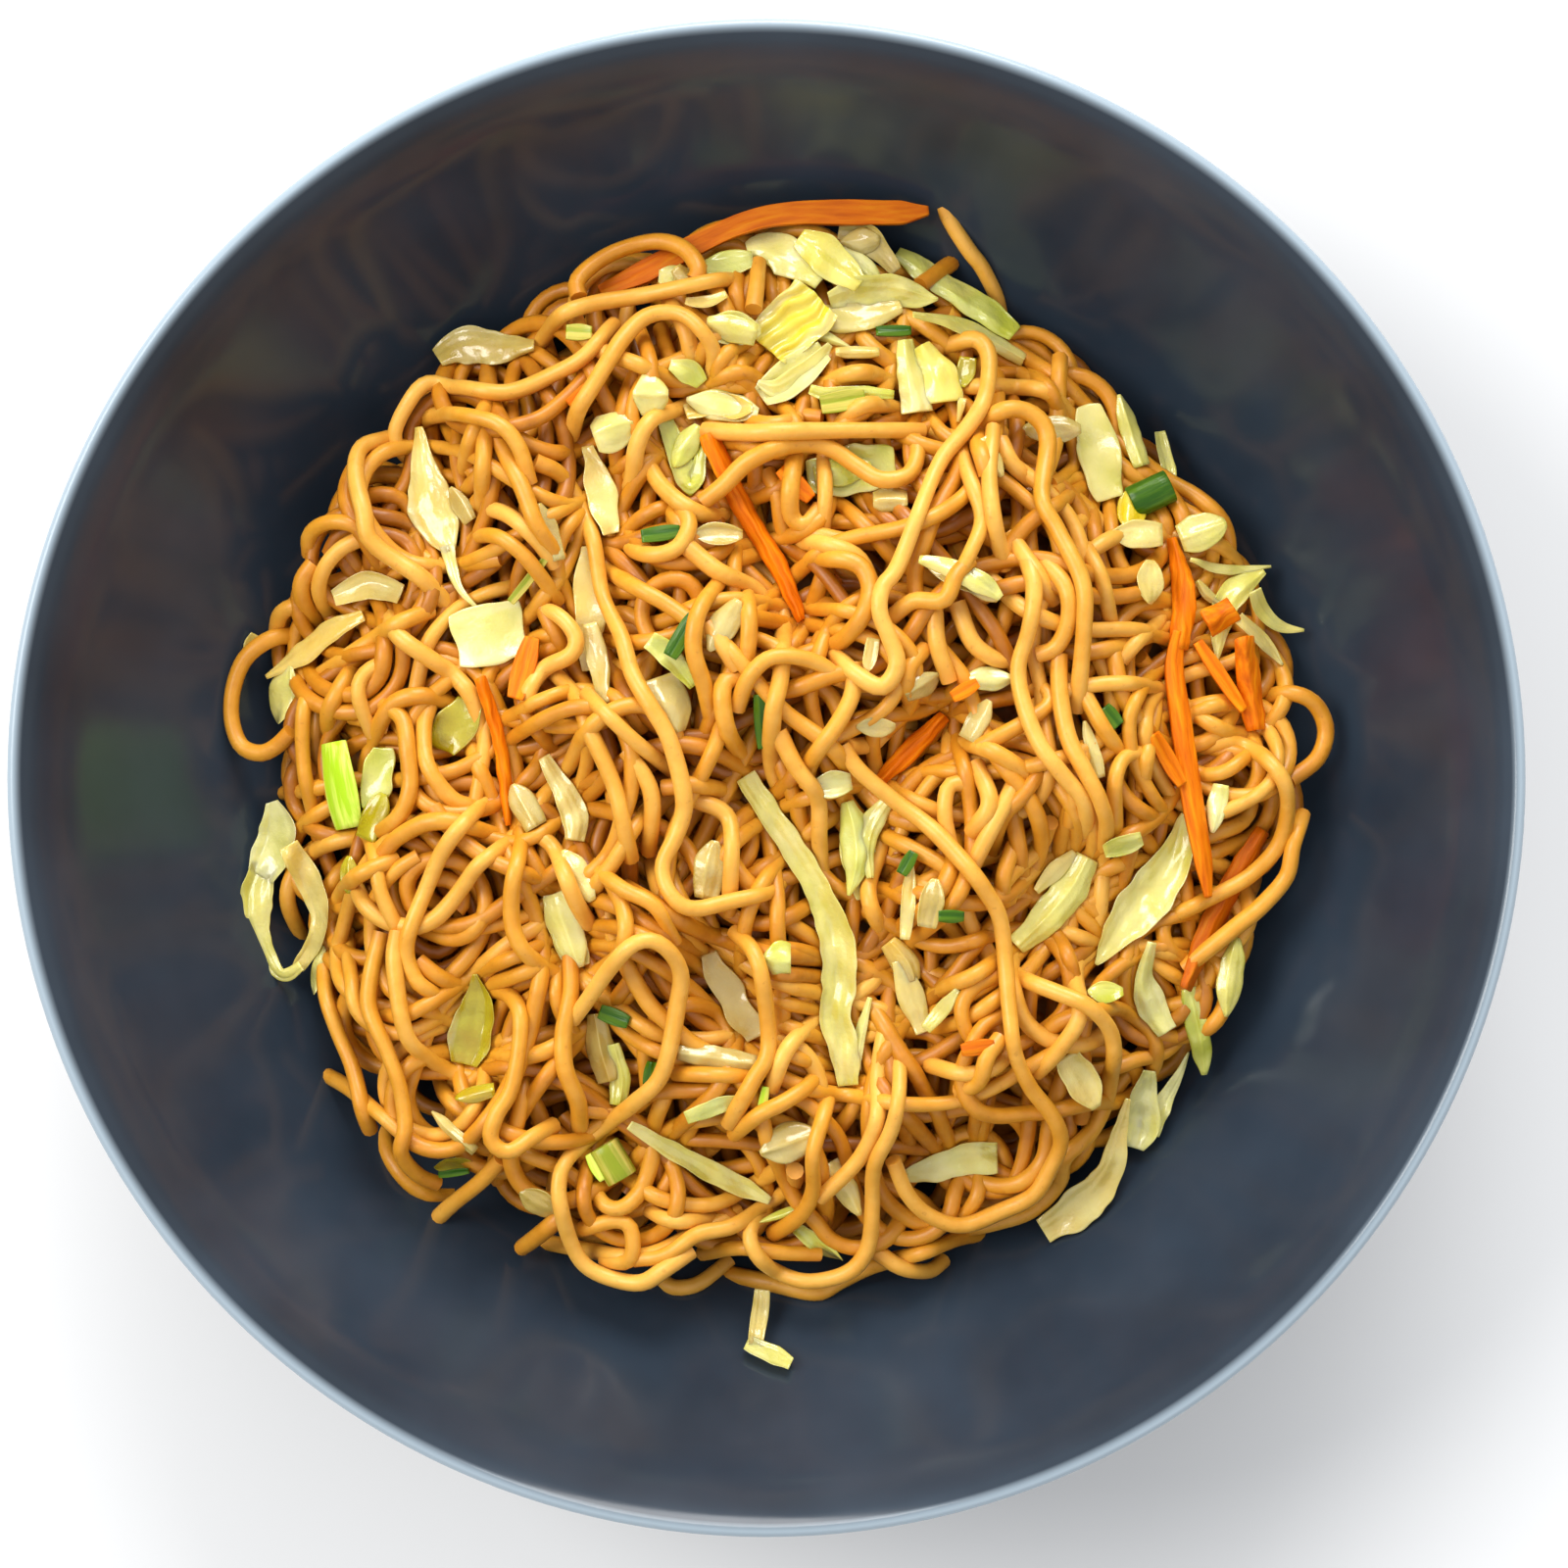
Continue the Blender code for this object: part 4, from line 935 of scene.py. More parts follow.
    ("centre_left_long", [(548, 474), (576, 489), (603, 543), (615, 607), (635, 650), (647, 689), (667, 724),
                          (685, 757), (699, 815), (692, 849), (677, 883), (685, 911), (707, 926), (749, 918),
                          (789, 908), (802, 890)]),
]


# Noodles that cross over a vegetable that lies on top.
CROSSING_NOODLES = [
    ("top_right_bend", [(965, 352), (995, 348), (1008, 368), (1003, 410), (985, 440), (961, 469), (943, 508),
                        (915, 580), (899, 602), (896, 627), (905, 650), (914, 680), (899, 702), (874, 690),
                        (851, 668)]),
    ("upper_wave", [(717, 513), (739, 496), (762, 474), (794, 459), (824, 454), (849, 459), (874, 476),
                    (899, 491), (926, 486), (936, 464), (933, 446)]),
    ("upper_straight", [(719, 439), (774, 444), (849, 441), (941, 439)]),
    ("diagonal_long", [(859, 762), (876, 786), (911, 816), (948, 844), (980, 878), (1003, 908), (1020, 943),
                       (1027, 1025), (1032, 1069), (1047, 1104), (1070, 1134), (1079, 1161), (1067, 1189),
                       (1050, 1214), (1017, 1231), (980, 1244), (948, 1236), (925, 1215), (910, 1180)]),
    ("top_stub", [(774, 268), (772, 292), (769, 318)]),
    ("green_stub", [(939, 291), (957, 278), (973, 264)]),
]


# Vegetables.


def across_of(points):
    """The level direction across a piece, to the left of the one along it, which runs down or right."""
    _, axes = np.linalg.eigh(np.cov((points[:, :2] - points[:, :2].mean(axis=0)).T))
    along = axes[:, 1]
    if along @ (0.4, -1.0) < 0:
        along = -along
    return np.array([-along[1], along[0]])


def grain_of(points):
    """Each point's place along and across its piece."""
    about = points - points.mean(axis=0)
    across = across_of(points)
    return np.column_stack([about[:, :2] @ (across[1], -across[0]), about[:, :2] @ across, about[:, 2]])


def put_tint(mesh, shades):
    for name, colour in zip(("tint", "second"), shades):
        put_values(mesh, name, "FLOAT_COLOR", np.tile((*colour, 1.0), (len(mesh.vertices), 1)))


def refined(node, levels, crease=0.8):
    """A finer mesh of a solid: its loose triangles joined, and its faces rounded but not its sharp edges."""
    bm = bmesh.new()
    bm.from_mesh(frame["nodes"][node].data)
    bmesh.ops.remove_doubles(bm, verts=bm.verts, dist=1e-5)
    bmesh.ops.join_triangles(bm, faces=bm.faces, angle_face_threshold=0.7, angle_shape_threshold=0.7)
    held = bm.edges.layers.float.new("crease_edge")
    for edge in bm.edges:
        if edge.calc_face_angle(0.0) > math.radians(50):
            edge[held] = crease
    return subdivided(bm, levels)


def leaf_from(node, slot, shades, ruffle=0.5, ribs=(0.0, 2.2, 0), widths=(1.0, 1.0, 1.0)):
    """A cabbage leaf that keeps its solid's form, with a torn edge and a wavy face.

    Its ribs are given by their height and spacing in millimetres and their turn in degrees, and its widths by
    the share that is left of its solid's at the upper or left end, the middle and the other end.
    """
    mesh = refined(node, 3, 0.65)
    points = points_of(mesh)
    grain = grain_of(points)
    x, y = points[:, 0].copy(), points[:, 1].copy()
    edge = np.abs(grain[:, 1]) / max(np.abs(grain[:, 1]).max(), 1e-4)
    reach = grain[:, 0].min(), (grain[:, 0].min() + grain[:, 0].max()) / 2, grain[:, 0].max()
    drawn_in = (np.interp(grain[:, 0], reach, widths) - 1) * grain[:, 1]
    points[:, :2] += drawn_in[:, None] * across_of(points)
    for axis in (0, 1):
        points[:, axis] += 0.34 * MM * ripple(x, y, 6 * MM, node + str(axis))
    points[:, 2] += ruffle * MM * ripple(x, y, 6.5 * MM, node) * (0.3 + 0.7 * edge**2)
    height, spacing, turn = ribs
    across = grain[:, 0] * math.sin(math.radians(turn)) + grain[:, 1] * math.cos(math.radians(turn))
    phase = 2 * math.pi * across / (spacing * MM) + 1.5 * ripple(x, y, 9 * MM, node + " ribs")
    points[:, 2] += height * MM * np.cos(phase)
    mesh.vertices.foreach_set("co", points.astype(np.float32).ravel())
    put_values(mesh, "grain", "FLOAT_VECTOR", grain)
    put_values(mesh, "edge", "FLOAT", edge)
    put_tint(mesh, LEAVES[shades])
    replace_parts(add_piece(mesh, node + "_leaf", CABBAGE[slot]), node)


def carrot_from(node, dark=0.0):
    mesh = refined(node, 2, 0.55)
    points = points_of(mesh)
    grain = grain_of(points)
    x, y = points[:, 0].copy(), points[:, 1].copy()
    for axis, letter in enumerate("xy"):
        points[:, axis] += 0.18 * MM * ripple(x, y, 4 * MM, node + letter)
    grooves = 0.10 * MM * np.cos(2 * math.pi * grain[:, 1] / (1.3 * MM))
    points[:, 2] += grooves + 0.12 * MM * ripple(x, y, 5 * MM, node)
    mesh.vertices.foreach_set("co", points.astype(np.float32).ravel())
    put_values(mesh, "grain", "FLOAT_VECTOR", grain)
    put_values(mesh, "shade", "FLOAT", np.full(len(points), dark))
    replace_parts(add_piece(mesh, node + "_shred", CARROT), node)


def onion_from(node, shades):
    mesh = refined(node, 2, 0.6)
    points = points_of(mesh)
    put_values(mesh, "grain", "FLOAT_VECTOR", grain_of(points))
    put_tint(mesh, ONIONS[shades])
    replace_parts(add_piece(mesh, node + "_cut", ONION), node)


# Strips of vegetable: the size of their facets and the number of rows across, before they are made smooth.
STRIP_FACET = 1.5 * MM
STRIP_ROWS = 8
DRAPE_ROUNDS = 14
LEAF_THICK = 1.0
THICKER_LEAVES = {"cabbage_thick": 2.4, "cabbage_crown": 1.8}
LONG_CARROT_THICK = 2.4
CABBAGE_BIT_THICK, CARROT_BIT_THICK, ONION_BIT_THICK = 0.9, 2.2, 1.4


class Bits:
    """Small pieces that only this scene has, joined into one piece of each kind."""

    def __init__(self, name):
        self.name = name
        self.bm = bmesh.new()
        self.grain = self.bm.verts.layers.float_vector.new("grain")
        self.tint = self.bm.verts.layers.float_color.new("tint")
        self.second = self.bm.verts.layers.float_color.new("second")
        self.shade = self.bm.verts.layers.float.new("shade")
        self.edge = self.bm.verts.layers.float.new("edge")

    def lay(self, path, widths, thick, shades=((1, 1, 1), (1, 1, 1)), rough=1.0, dark=0.0, lie=None):
        """Lays a strip with these widths along a path, where its solid lies or else over what is there."""
        draw = random.Random(f"{path[0][0]:.4f} {path[0][1]:.4f}")
        facet, across = STRIP_FACET, STRIP_ROWS
        line = smooth(path, facet)
        along = len(line) - 1
        ahead = np.gradient(line, axis=0)
        sideways = ahead[:, ::-1] * (-1, 1) / np.linalg.norm(ahead, axis=1)[:, None]
        t = np.linspace(0, 1, along + 1)
        reach = np.concatenate([[0.0], np.cumsum(np.linalg.norm(np.diff(path, axis=0), axis=1))])
        half = np.interp(t, reach / reach[-1], widths) / 2
        torn = [half * [1 + rough * draw.uniform(-0.12, 0.12) for _ in t] for _ in range(2)]
        rows = np.linspace(-1, 1, across + 1)
        offset = np.where(rows < 0, torn[0][:, None] * rows, torn[1][:, None] * rows)
        spots = line[:, None] + sideways[:, None] * offset[..., None]
        shape = spots.shape[:2]
        if lie:
            height = lie(spots[..., 0], spots[..., 1]) - thick / 2
        else:
            floor = pile.under_disc(spots.reshape(-1, 2), 0.5 * facet).reshape(shape) - 0.3 * MM
            height = floor.copy()
            for _ in range(DRAPE_ROUNDS):
                near = np.pad(height, 1, mode="edge")
                mean = (near[:-2, 1:-1] + near[2:, 1:-1] + near[1:-1, :-2] + near[1:-1, 2:]) / 4
                height = np.maximum(floor, mean)
            height = 0.5 * height + 0.5 * height.mean()
        broad = np.minimum(half / (3 * MM), 1.0)[:, None]
        fold, tilt, cup = draw.uniform(-0.5, 0.5), draw.uniform(-0.5, 0.5), draw.uniform(-0.5, 0.8)
        bent = tilt * rows + cup * rows**2 + draw.choice((-1.1, 1.1)) * (np.abs(rows - fold) - 0.5)
        bent = bent + 0.16 * np.cos(2 * math.pi * (rows + fold) / draw.uniform(0.5, 0.7))
        height += rough * MM * (0.45 * ripple(spots[..., 0], spots[..., 1], 5 * MM, str(fold)) + broad * bent)
        made = bmesh.ops.create_grid(self.bm, x_segments=along, y_segments=across, size=0.5)
        faces = list({face for vert in made["verts"] for face in vert.link_faces})
        for vert in made["verts"]:
            step, row = round((vert.co.x + 0.5) * along), round((vert.co.y + 0.5) * across)
            vert[self.grain] = (t[step] * along * facet, offset[step, row], 0.0)
            vert[self.tint], vert[self.second] = (*shades[0], 1.0), (*shades[1], 1.0)
            vert[self.shade], vert[self.edge] = dark, abs(rows[row])
            vert.co = (*spots[step, row], height[step, row])
        raised = bmesh.ops.extrude_face_region(self.bm, geom=faces)["geom"]
        for vert in (item for item in raised if isinstance(item, bmesh.types.BMVert)):
            vert.co.z += thick * (1 - 0.35 * rough * vert[self.edge])
        if lie:
            return
        top = np.zeros(GRID_X.shape)
        cells = cells_of(spots.reshape(-1, 2))
        for di in range(-2, 3):
            for dj in range(-2, 3):
                np.maximum.at(top, (cells[:, 0] + di, cells[:, 1] + dj), height.ravel() + thick)
        pile.add_grid(top)

    def make(self, finish, slot, levels=2):
        bmesh.ops.recalc_face_normals(self.bm, faces=self.bm.faces)
        held = self.bm.edges.layers.float.new("crease_edge")
        for edge in self.bm.edges:
            if edge.calc_face_angle(0.0) > math.radians(50):
                edge[held] = 0.6
        return add_piece(subdivided(self.bm, levels), self.name, finish)


def lie_of(node):
    """The heights along which a solid lies, held level beyond its edges."""
    points = points_of(frame["nodes"][node].data)
    low, high = points.min(axis=0)[:2] - MM, points.max(axis=0)[:2] + MM

    def terms(x, y):
        u, v = (np.clip(x, low[0], high[0]) - low[0]) / MM, (np.clip(y, low[1], high[1]) - low[1]) / MM
        return np.stack([np.ones_like(u), u, v, u * u, u * v, v * v], axis=-1)

    held = np.linalg.lstsq(terms(points[:, 0], points[:, 1]), points[:, 2], rcond=None)[0]
    return lambda x, y: terms(x, y) @ held


def strips_from(node, finish, slot, thick, strips, rough=1.0, dark=0.0):
    """A solid's piece made of strips, each through pixels of the photograph with its width there."""
    piece = Bits(node + "_strips")
    lie = lie_of(node)
    for shades, strip in strips:
        path = [spot(px, py) for px, py, _ in strip]
        piece.lay(path, [width * HEAP_PIXEL for *_, width in strip], thick, shades, rough, dark, lie)
    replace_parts(piece.make(finish, slot), node)


def stick(px, py, length, turn):
    """The path of a straight bit, from its middle pixel, its length in pixels and its heading in degrees."""
    across, up = length / 2 * math.cos(math.radians(turn)), length / 2 * math.sin(math.radians(turn))
    return [spot(px + part * across, py - part * up) for part in (-1, -0.5, 0, 0.5, 1)]


def rounded(width, ends):
    """The widths of a bit along its path: these shares at its ends, and bulging between them."""
    shares = [ends[0] + (ends[1] - ends[0]) * part for part in (0, 0.25, 0.5, 0.75, 1)]
    return [width * (share + (1 - share) * bulge) for share, bulge in zip(shares, (0, 0.84, 1, 0.84, 0))]


LEAF_NODES = {
    "pale_cabbage": {
        "cabbage_mid_left": ("cream",), "cabbage_low_left": ("white",),
        "cabbage_low_mid": ("clear",), "cabbage_fold": ("pale",), "cabbage_right_top": ("pale", 0.6),
        "cabbage_square": ("white", 0.4), "cabbage_upper_left": ("cream", 0.3, (0, 1, 0), (0.6, 1.0, 0.85)),
    },
    "green_cabbage": {
        "cabbage_mid_top": ("lime", 0.8), "cabbage_left_inner": ("green",), "cabbage_left_green": ("lime",),
    },
    "yellow_cabbage": {"cabbage_yellow": ("yellow", 0.6, (0.45, 2.4, 10))},
}

# Leaves that follow the photograph: slot, then strips of a shade through (pixel, pixel, width in pixels).
STRIP_NODES = {
    "cabbage_crown": ("yellow_cabbage", [
        ("white", [(762, 255, 16), (782, 252, 36), (802, 262, 42), (822, 276, 32), (838, 288, 20)]),
        ("bright", [(815, 246, 18), (836, 260, 40), (858, 276, 40), (878, 292, 18)]),
    ]),
    "cabbage_crown_right": ("pale_cabbage", [
        ("clear", [(855, 240, 14), (882, 246, 30), (900, 262, 22), (914, 278, 14)]),
    ]),
    "cabbage_upper_right": ("pale_cabbage", [
        ("cream", [(838, 320, 24), (864, 324, 34), (892, 320, 28), (920, 312, 14)]),
        ("pale", [(846, 306, 16), (876, 298, 30), (912, 298, 34), (940, 304, 22), (957, 306, 3)]),
        ("white", [(824, 337, 6), (843, 343, 13), (869, 354, 3)]),
    ]),
    "cabbage_top_green": ("green_cabbage", [
        ("lime", [(915, 258, 14), (935, 270, 26), (955, 285, 26), (980, 301, 28), (1011, 320, 32),
                  (1036, 340, 22)]),
        ("pale", [(930, 325, 8), (970, 329, 18), (1003, 343, 22), (1046, 366, 14)]),
    ]),
    "cabbage_upper_mid": ("pale_cabbage", [
        ("white", [(847, 352, 6), (832, 371, 18), (811, 387, 24), (792, 397, 22), (773, 390, 6)]),
    ]),
    "cabbage_thick": ("yellow_cabbage", [
        ("white", [(924, 346, 18), (929, 378, 28), (936, 420, 34)]),
        ("bright", [(940, 352, 20), (957, 384, 44), (962, 410, 42)]),
        ("cream", [(982, 406, 10), (978, 430, 4)]),
    ]),
    "cabbage_upper_green": ("green_cabbage", [
        ("lime", [(684, 374, 10), (704, 380, 30), (716, 392, 14)]),
        ("gold", [(699, 420, 16), (726, 412, 24), (752, 416, 26), (768, 417, 8)]),
    ]),
    "cabbage_loop": ("green_cabbage", [
        ("lime", [(678, 428, 16), (692, 464, 24), (704, 496, 22), (713, 474, 14), (716, 434, 8)]),
    ]),
    "cabbage_right_leaf": ("yellow_cabbage", [
        ("pale", [(1214, 571, 5), (1249, 581, 12), (1297, 578, 3)]),
        ("bright", [(1288, 583, 8), (1259, 605, 32), (1246, 636, 24), (1242, 674, 4)]),
        ("cream", [(1222, 592, 6), (1232, 606, 14), (1248, 616, 8)]),
    ]),
    "cabbage_right_tips": ("yellow_cabbage", [
        ("cream", [(1261, 631, 12), (1288, 655, 20), (1307, 679, 3)]),
        ("pale", [(1276, 604, 14), (1288, 626, 19), (1306, 641, 12), (1331, 643, 3)]),
    ]),
    "cabbage_leaf_right": ("pale_cabbage", [
        ("pale", [(1209, 830, 8), (1201, 868, 34), (1178, 906, 52), (1146, 946, 42), (1119, 985, 4)]),
    ]),
    "cabbage_right_inner": ("pale_cabbage", [
        ("bright", [(1111, 875, 26), (1094, 906, 38), (1068, 937, 34), (1038, 966, 22)]),
        ("cream", [(1058, 910, 8), (1076, 890, 20), (1098, 870, 10)]),
    ]),
    "cabbage_spoon": ("pale_cabbage", [
        ("white", [(1175, 961, 10), (1168, 997, 18), (1175, 1024, 36), (1190, 1052, 20)]),
    ]),
    "cabbage_bulb": ("green_cabbage", [
        ("white", [(1172, 1092, 14), (1165, 1124, 34), (1162, 1152, 40), (1158, 1172, 20)]),
        ("white", [(1170, 1154, 26), (1182, 1130, 24), (1199, 1100, 11), (1212, 1073, 3)]),
    ]),
    "cabbage_right_low": ("pale_cabbage", [
        ("cream", [(1150, 1120, 6), (1140, 1156, 18), (1130, 1196, 30), (1104, 1230, 44), (1064, 1256, 28)]),
    ]),
    "cabbage_top_left": ("pale_cabbage", [
        ("clear", [(447, 366, 22), (470, 354, 40), (508, 354, 36), (545, 352, 12)]),
    ]),
    "cabbage_teardrop": ("pale_cabbage", [
        ("cream", [(428, 436, 8), (431, 470, 26), (439, 512, 52), (449, 541, 42), (459, 562, 12)]),
        ("white", [(455, 556, 16), (467, 598, 9), (490, 624, 3)]),
    ]),
    "cabbage_left_shred": ("pale_cabbage", [
        ("gold", [(370, 627, 12), (337, 644, 25), (307, 668, 25), (272, 691, 5)]),
    ]),
    "cabbage_left_fold": ("yellow_cabbage", [
        ("cream", [(341, 611, 18), (378, 597, 32), (409, 606, 20)]),
    ]),
    "cabbage_left_edge": ("pale_cabbage", [
        ("white", [(279, 818, 14), (286, 844, 42), (278, 872, 44), (264, 894, 30)]),
        ("pale", [(270, 882, 28), (260, 918, 36), (261, 950, 24), (270, 975, 18), (287, 997, 15),
                  (310, 984, 12)]),
    ]),
    "cabbage_star": ("pale_cabbage", [
        ("lime", [(864, 818, 14), (872, 848, 34), (874, 880, 28), (866, 914, 4)]),
        ("pale", [(908, 816, 12), (892, 836, 24), (884, 862, 18), (888, 896, 8)]),
    ]),
    "cabbage_left_strip": ("pale_cabbage", [
        ("cream", [(298, 862, 22), (312, 890, 28), (325, 925, 24), (324, 955, 20), (304, 988, 14)]),
    ]),
    "cabbage_mid_shred": ("pale_cabbage", [
        ("cream", [(554, 772, 12), (572, 803, 22), (587, 833, 32), (586, 858, 18)]),
    ]),
    "cabbage_green_leaf": ("green_cabbage", [
        ("green", [(484, 994, 5), (487, 1024, 34), (480, 1058, 46), (474, 1086, 30)]),
    ]),
    "cabbage_low_shred": ("pale_cabbage", [
        ("pale", [(643, 1146, 10), (678, 1169, 18), (721, 1193, 22), (762, 1213, 20), (786, 1225, 8)]),
    ]),
    "cabbage_low_curl": ("pale_cabbage", [
        ("gold", [(906, 962, 20), (924, 984, 32), (932, 1002, 16)]),
        ("cream", [(919, 980, 16), (930, 1018, 30), (943, 1054, 16)]),
    ]),
    "cabbage_low_right": ("pale_cabbage", [
        ("white", [(925, 1200, 14), (955, 1193, 28), (986, 1183, 34), (1018, 1181, 34)]),
    ]),
    "cabbage_long_shred": ("pale_cabbage", [
        ("pale", [(760, 792, 22), (785, 830, 25), (812, 870, 26), (838, 915, 27), (853, 958, 36),
                  (857, 1002, 36), (852, 1036, 32), (862, 1076, 30), (866, 1108, 20)]),
        ("white", [(888, 1018, 5), (878, 1056, 12), (872, 1092, 12)]),
    ]),
    "cabbage_low_green": ("green_cabbage", [
        ("clear", [(606, 1035, 18), (612, 1068, 30), (622, 1104, 26)]),
        ("lime", [(624, 1066, 14), (632, 1100, 24), (630, 1128, 18)]),
    ]),
    "cabbage_loose_shred": ("pale_cabbage", [
        ("cream", [(778, 1314, 16), (775, 1344, 19), (771, 1374, 16)]),
        ("white", [(762, 1370, 14), (776, 1378, 16), (792, 1384, 18), (807, 1393, 12)]),
    ]),
}


def dress_vegetables():
    for slot, leaves in LEAF_NODES.items():
        for node, looks in leaves.items():
            leaf_from(node, slot, *looks)
    for node, (slot, strips) in STRIP_NODES.items():
        thick = THICKER_LEAVES.get(node, LEAF_THICK) * MM
        strips_from(node, CABBAGE[slot], slot, thick, [(LEAVES[shades], strip) for shades, strip in strips])
    for node in frame["nodes"]:
        if node in LONG_CARROTS:
            dark, strip = LONG_CARROTS[node]
            strips_from(node, CARROT, "carrot", LONG_CARROT_THICK * MM, [(LEAVES["gold"], strip)], 0.15, dark)
        elif node.startswith("carrot"):
            carrot_from(node, 0.55 if node == "carrot_right_low" else 0.0)
    onion_from("onion_dark", "dark")
    onion_from("onion_low", "soft")
    onion_from("onion_bright", "bright")


# How much darker each long carrot shred is, and its strip.
LONG_CARROTS = {
    "carrot_top_arc": (0.42, [
        (612, 298, 12), (652, 281, 24), (700, 257, 23), (741, 239, 22), (779, 226, 22), (818, 221, 24),
        (859, 220, 26), (920, 218, 24), (948, 214, 8),
    ]),
    "carrot_right_long": (0.0, [
        (1204, 644, 15), (1199, 680, 20), (1206, 740, 23), (1217, 820, 23), (1227, 880, 20), (1231, 915, 8),
    ]),
}

TUCKED = (
    "cabbage_crown_right", "cabbage_mid_top", "cabbage_loop", "cabbage_mid_left", "cabbage_left_inner",
    "cabbage_left_green", "cabbage_low_left", "cabbage_low_green", "cabbage_low_mid", "cabbage_fold",
    "cabbage_left_fold", "carrot_right_low", "carrot_top_arc",
)


def dressed_names(node):
    return [node + ending for ending in ("_leaf", "_strips", "_shred", "_cut")]


def vegetable_grids():
    """(ceiling under all vegetables, ceiling under those on top, tops of the tucked, tops of the others)."""
    under = {True: np.full(GRID_X.shape, NO_CEILING), False: np.full(GRID_X.shape, NO_CEILING)}
    over = {True: np.zeros(GRID_X.shape), False: np.zeros(GRID_X.shape)}
    for name in frame["nodes"]:
        if name in ("bowl", "noodle_heap"):
            continue
        mesh = next(piece.data for piece in bpy.data.objects if piece.name in dressed_names(name))
        points = points_of(mesh)
        tree = BVHTree.FromPolygons([Vector(p) for p in points], [tuple(f.vertices) for f in mesh.polygons])
        tucked = name in TUCKED
        under[tucked] = np.fmin(under[tucked], seen_height(tree, points, True))
        over[tucked] = np.fmax(over[tucked], seen_height(tree, points, False))
    on_top = with_slopes(under[False])
    return np.minimum(with_slopes(under[True]), on_top), on_top, over[True], over[False]


# Small pieces: middle pixel, length and width in pixels, heading in degrees, and leaf or darkening.
CABBAGE_BITS = [
    (877, 250, 40, 30, 0, "clear"), (749, 339, 55, 35, 0, "white"), (809, 381, 80, 40, 35, "white"),
    (875, 359, 45, 14, 0, "cream"), (744, 270, 50, 28, 10, "lime"), (690, 284, 35, 25, 0, "white"),
    (737, 414, 75, 32, -10, "white"), (665, 406, 36, 45, 0, "pale"), (627, 441, 43, 42, 20, "white"),
    (908, 510, 35, 28, 0, "clear"), (733, 546, 50, 28, 0, "clear"), (1152, 441, 75, 22, -70, "pale"),
    (1154, 521, 42, 32, 90, "yellow"), (1159, 546, 52, 30, 0, "cream"), (1225, 543, 46, 40, 20, "pale"),
    (1072, 439, 60, 30, 0, "clear"), (253, 656, 22, 12, 60, "cream"), (290, 709, 60, 35, 80, "pale"),
    (383, 833, 50, 30, 70, "green"), (535, 822, 50, 30, -60, "clear"), (359, 892, 38, 20, 90, "green"),
    (590, 893, 60, 30, -60, "cream"), (578, 950, 80, 35, -70, "white"), (739, 640, 60, 30, 60, "clear"),
    (685, 719, 60, 45, -70, "clear"), (850, 800, 38, 27, 10, "white"), (975, 590, 60, 25, -20, "cream"),
    (887, 670, 35, 15, 80, "cream"), (893, 742, 40, 22, 0, "clear"), (725, 887, 60, 34, 80, "clear"),
    (926, 918, 80, 15, 85, "cream"), (948, 920, 50, 26, 80, "clear"), (1240, 825, 50, 20, 80, "white"),
    (1144, 862, 40, 22, 20, "lime"), (1172, 595, 45, 30, 90, "cream"), (1000, 600, 44, 26, -40, "clear"),
    (1006, 693, 50, 27, 0, "white"), (997, 735, 46, 24, 60, "clear"), (1112, 765, 60, 15, -75, "cream"),
    (488, 1113, 40, 18, 10, "green"), (325, 990, 50, 16, 80, "pale"), (467, 1150, 60, 14, -40, "clear"),
    (553, 1222, 44, 30, -30, "clear"), (465, 1186, 40, 20, 10, "green"), (732, 1078, 80, 25, -8, "clear"),
    (793, 976, 28, 37, 0, "lime"), (729, 1127, 60, 18, 20, "lime"), (804, 1163, 60, 40, 20, "clear"),
    (835, 1265, 55, 18, -33, "lime"), (862, 1210, 60, 25, -60, "cream"), (800, 1235, 55, 10, 20, "lime"),
    (1220, 1052, 90, 24, -80, "lime"), (1252, 995, 80, 28, 80, "pale"), (1100, 1100, 60, 35, -60, "cream"),
    (1125, 1010, 36, 24, 0, "lime"), (940, 700, 40, 24, 30, "clear"), (700, 455, 50, 26, 60, "lime"),
    (860, 480, 60, 30, 10, "lime"), (985, 380, 30, 22, 80, "green"), (1010, 470, 44, 20, -60, "cream"),
    (560, 545, 60, 26, -75, "clear"), (470, 515, 40, 20, -60, "clear"), (1190, 470, 60, 16, -75, "pale"),
]
# Small cabbage that bends: leaf, then pixels with the width there in pixels.
CABBAGE_SCRAPS = [
    ("clear", [(602, 636, 16), (611, 676, 24), (618, 718, 10)]),
    ("pale", [(936, 573, 8), (962, 580, 20), (1000, 598, 24), (1018, 613, 8)]),
    ("lime", [(664, 654, 20), (686, 672, 24), (708, 702, 8)]),
    ("pale", [(944, 1050, 12), (960, 1030, 18), (976, 1008, 6)]),
    ("white", [(856, 262, 20), (880, 276, 28), (893, 290, 18)]),
    ("clear", [(690, 276, 14), (704, 290, 24), (716, 292, 12)]),
    ("lime", [(826, 398, 10), (848, 404, 16), (886, 402, 14), (912, 404, 8)]),
    ("pale", [(722, 334, 14), (745, 338, 28), (772, 344, 22)]),
    ("cream", [(700, 310, 8), (722, 312, 16), (742, 304, 8)]),
]
CARROT_BITS = [
    (812, 494, 44, 20, -45, 0.1), (535, 682, 65, 24, 75, 0.1), (983, 705, 30, 16, 30, 0.0),
    (995, 1065, 34, 16, 10, 0.4), (1190, 775, 60, 18, -60, 0.1), (1245, 690, 84, 15, -57, 0.0),
    (600, 402, 46, 14, 40, 0.25),
]
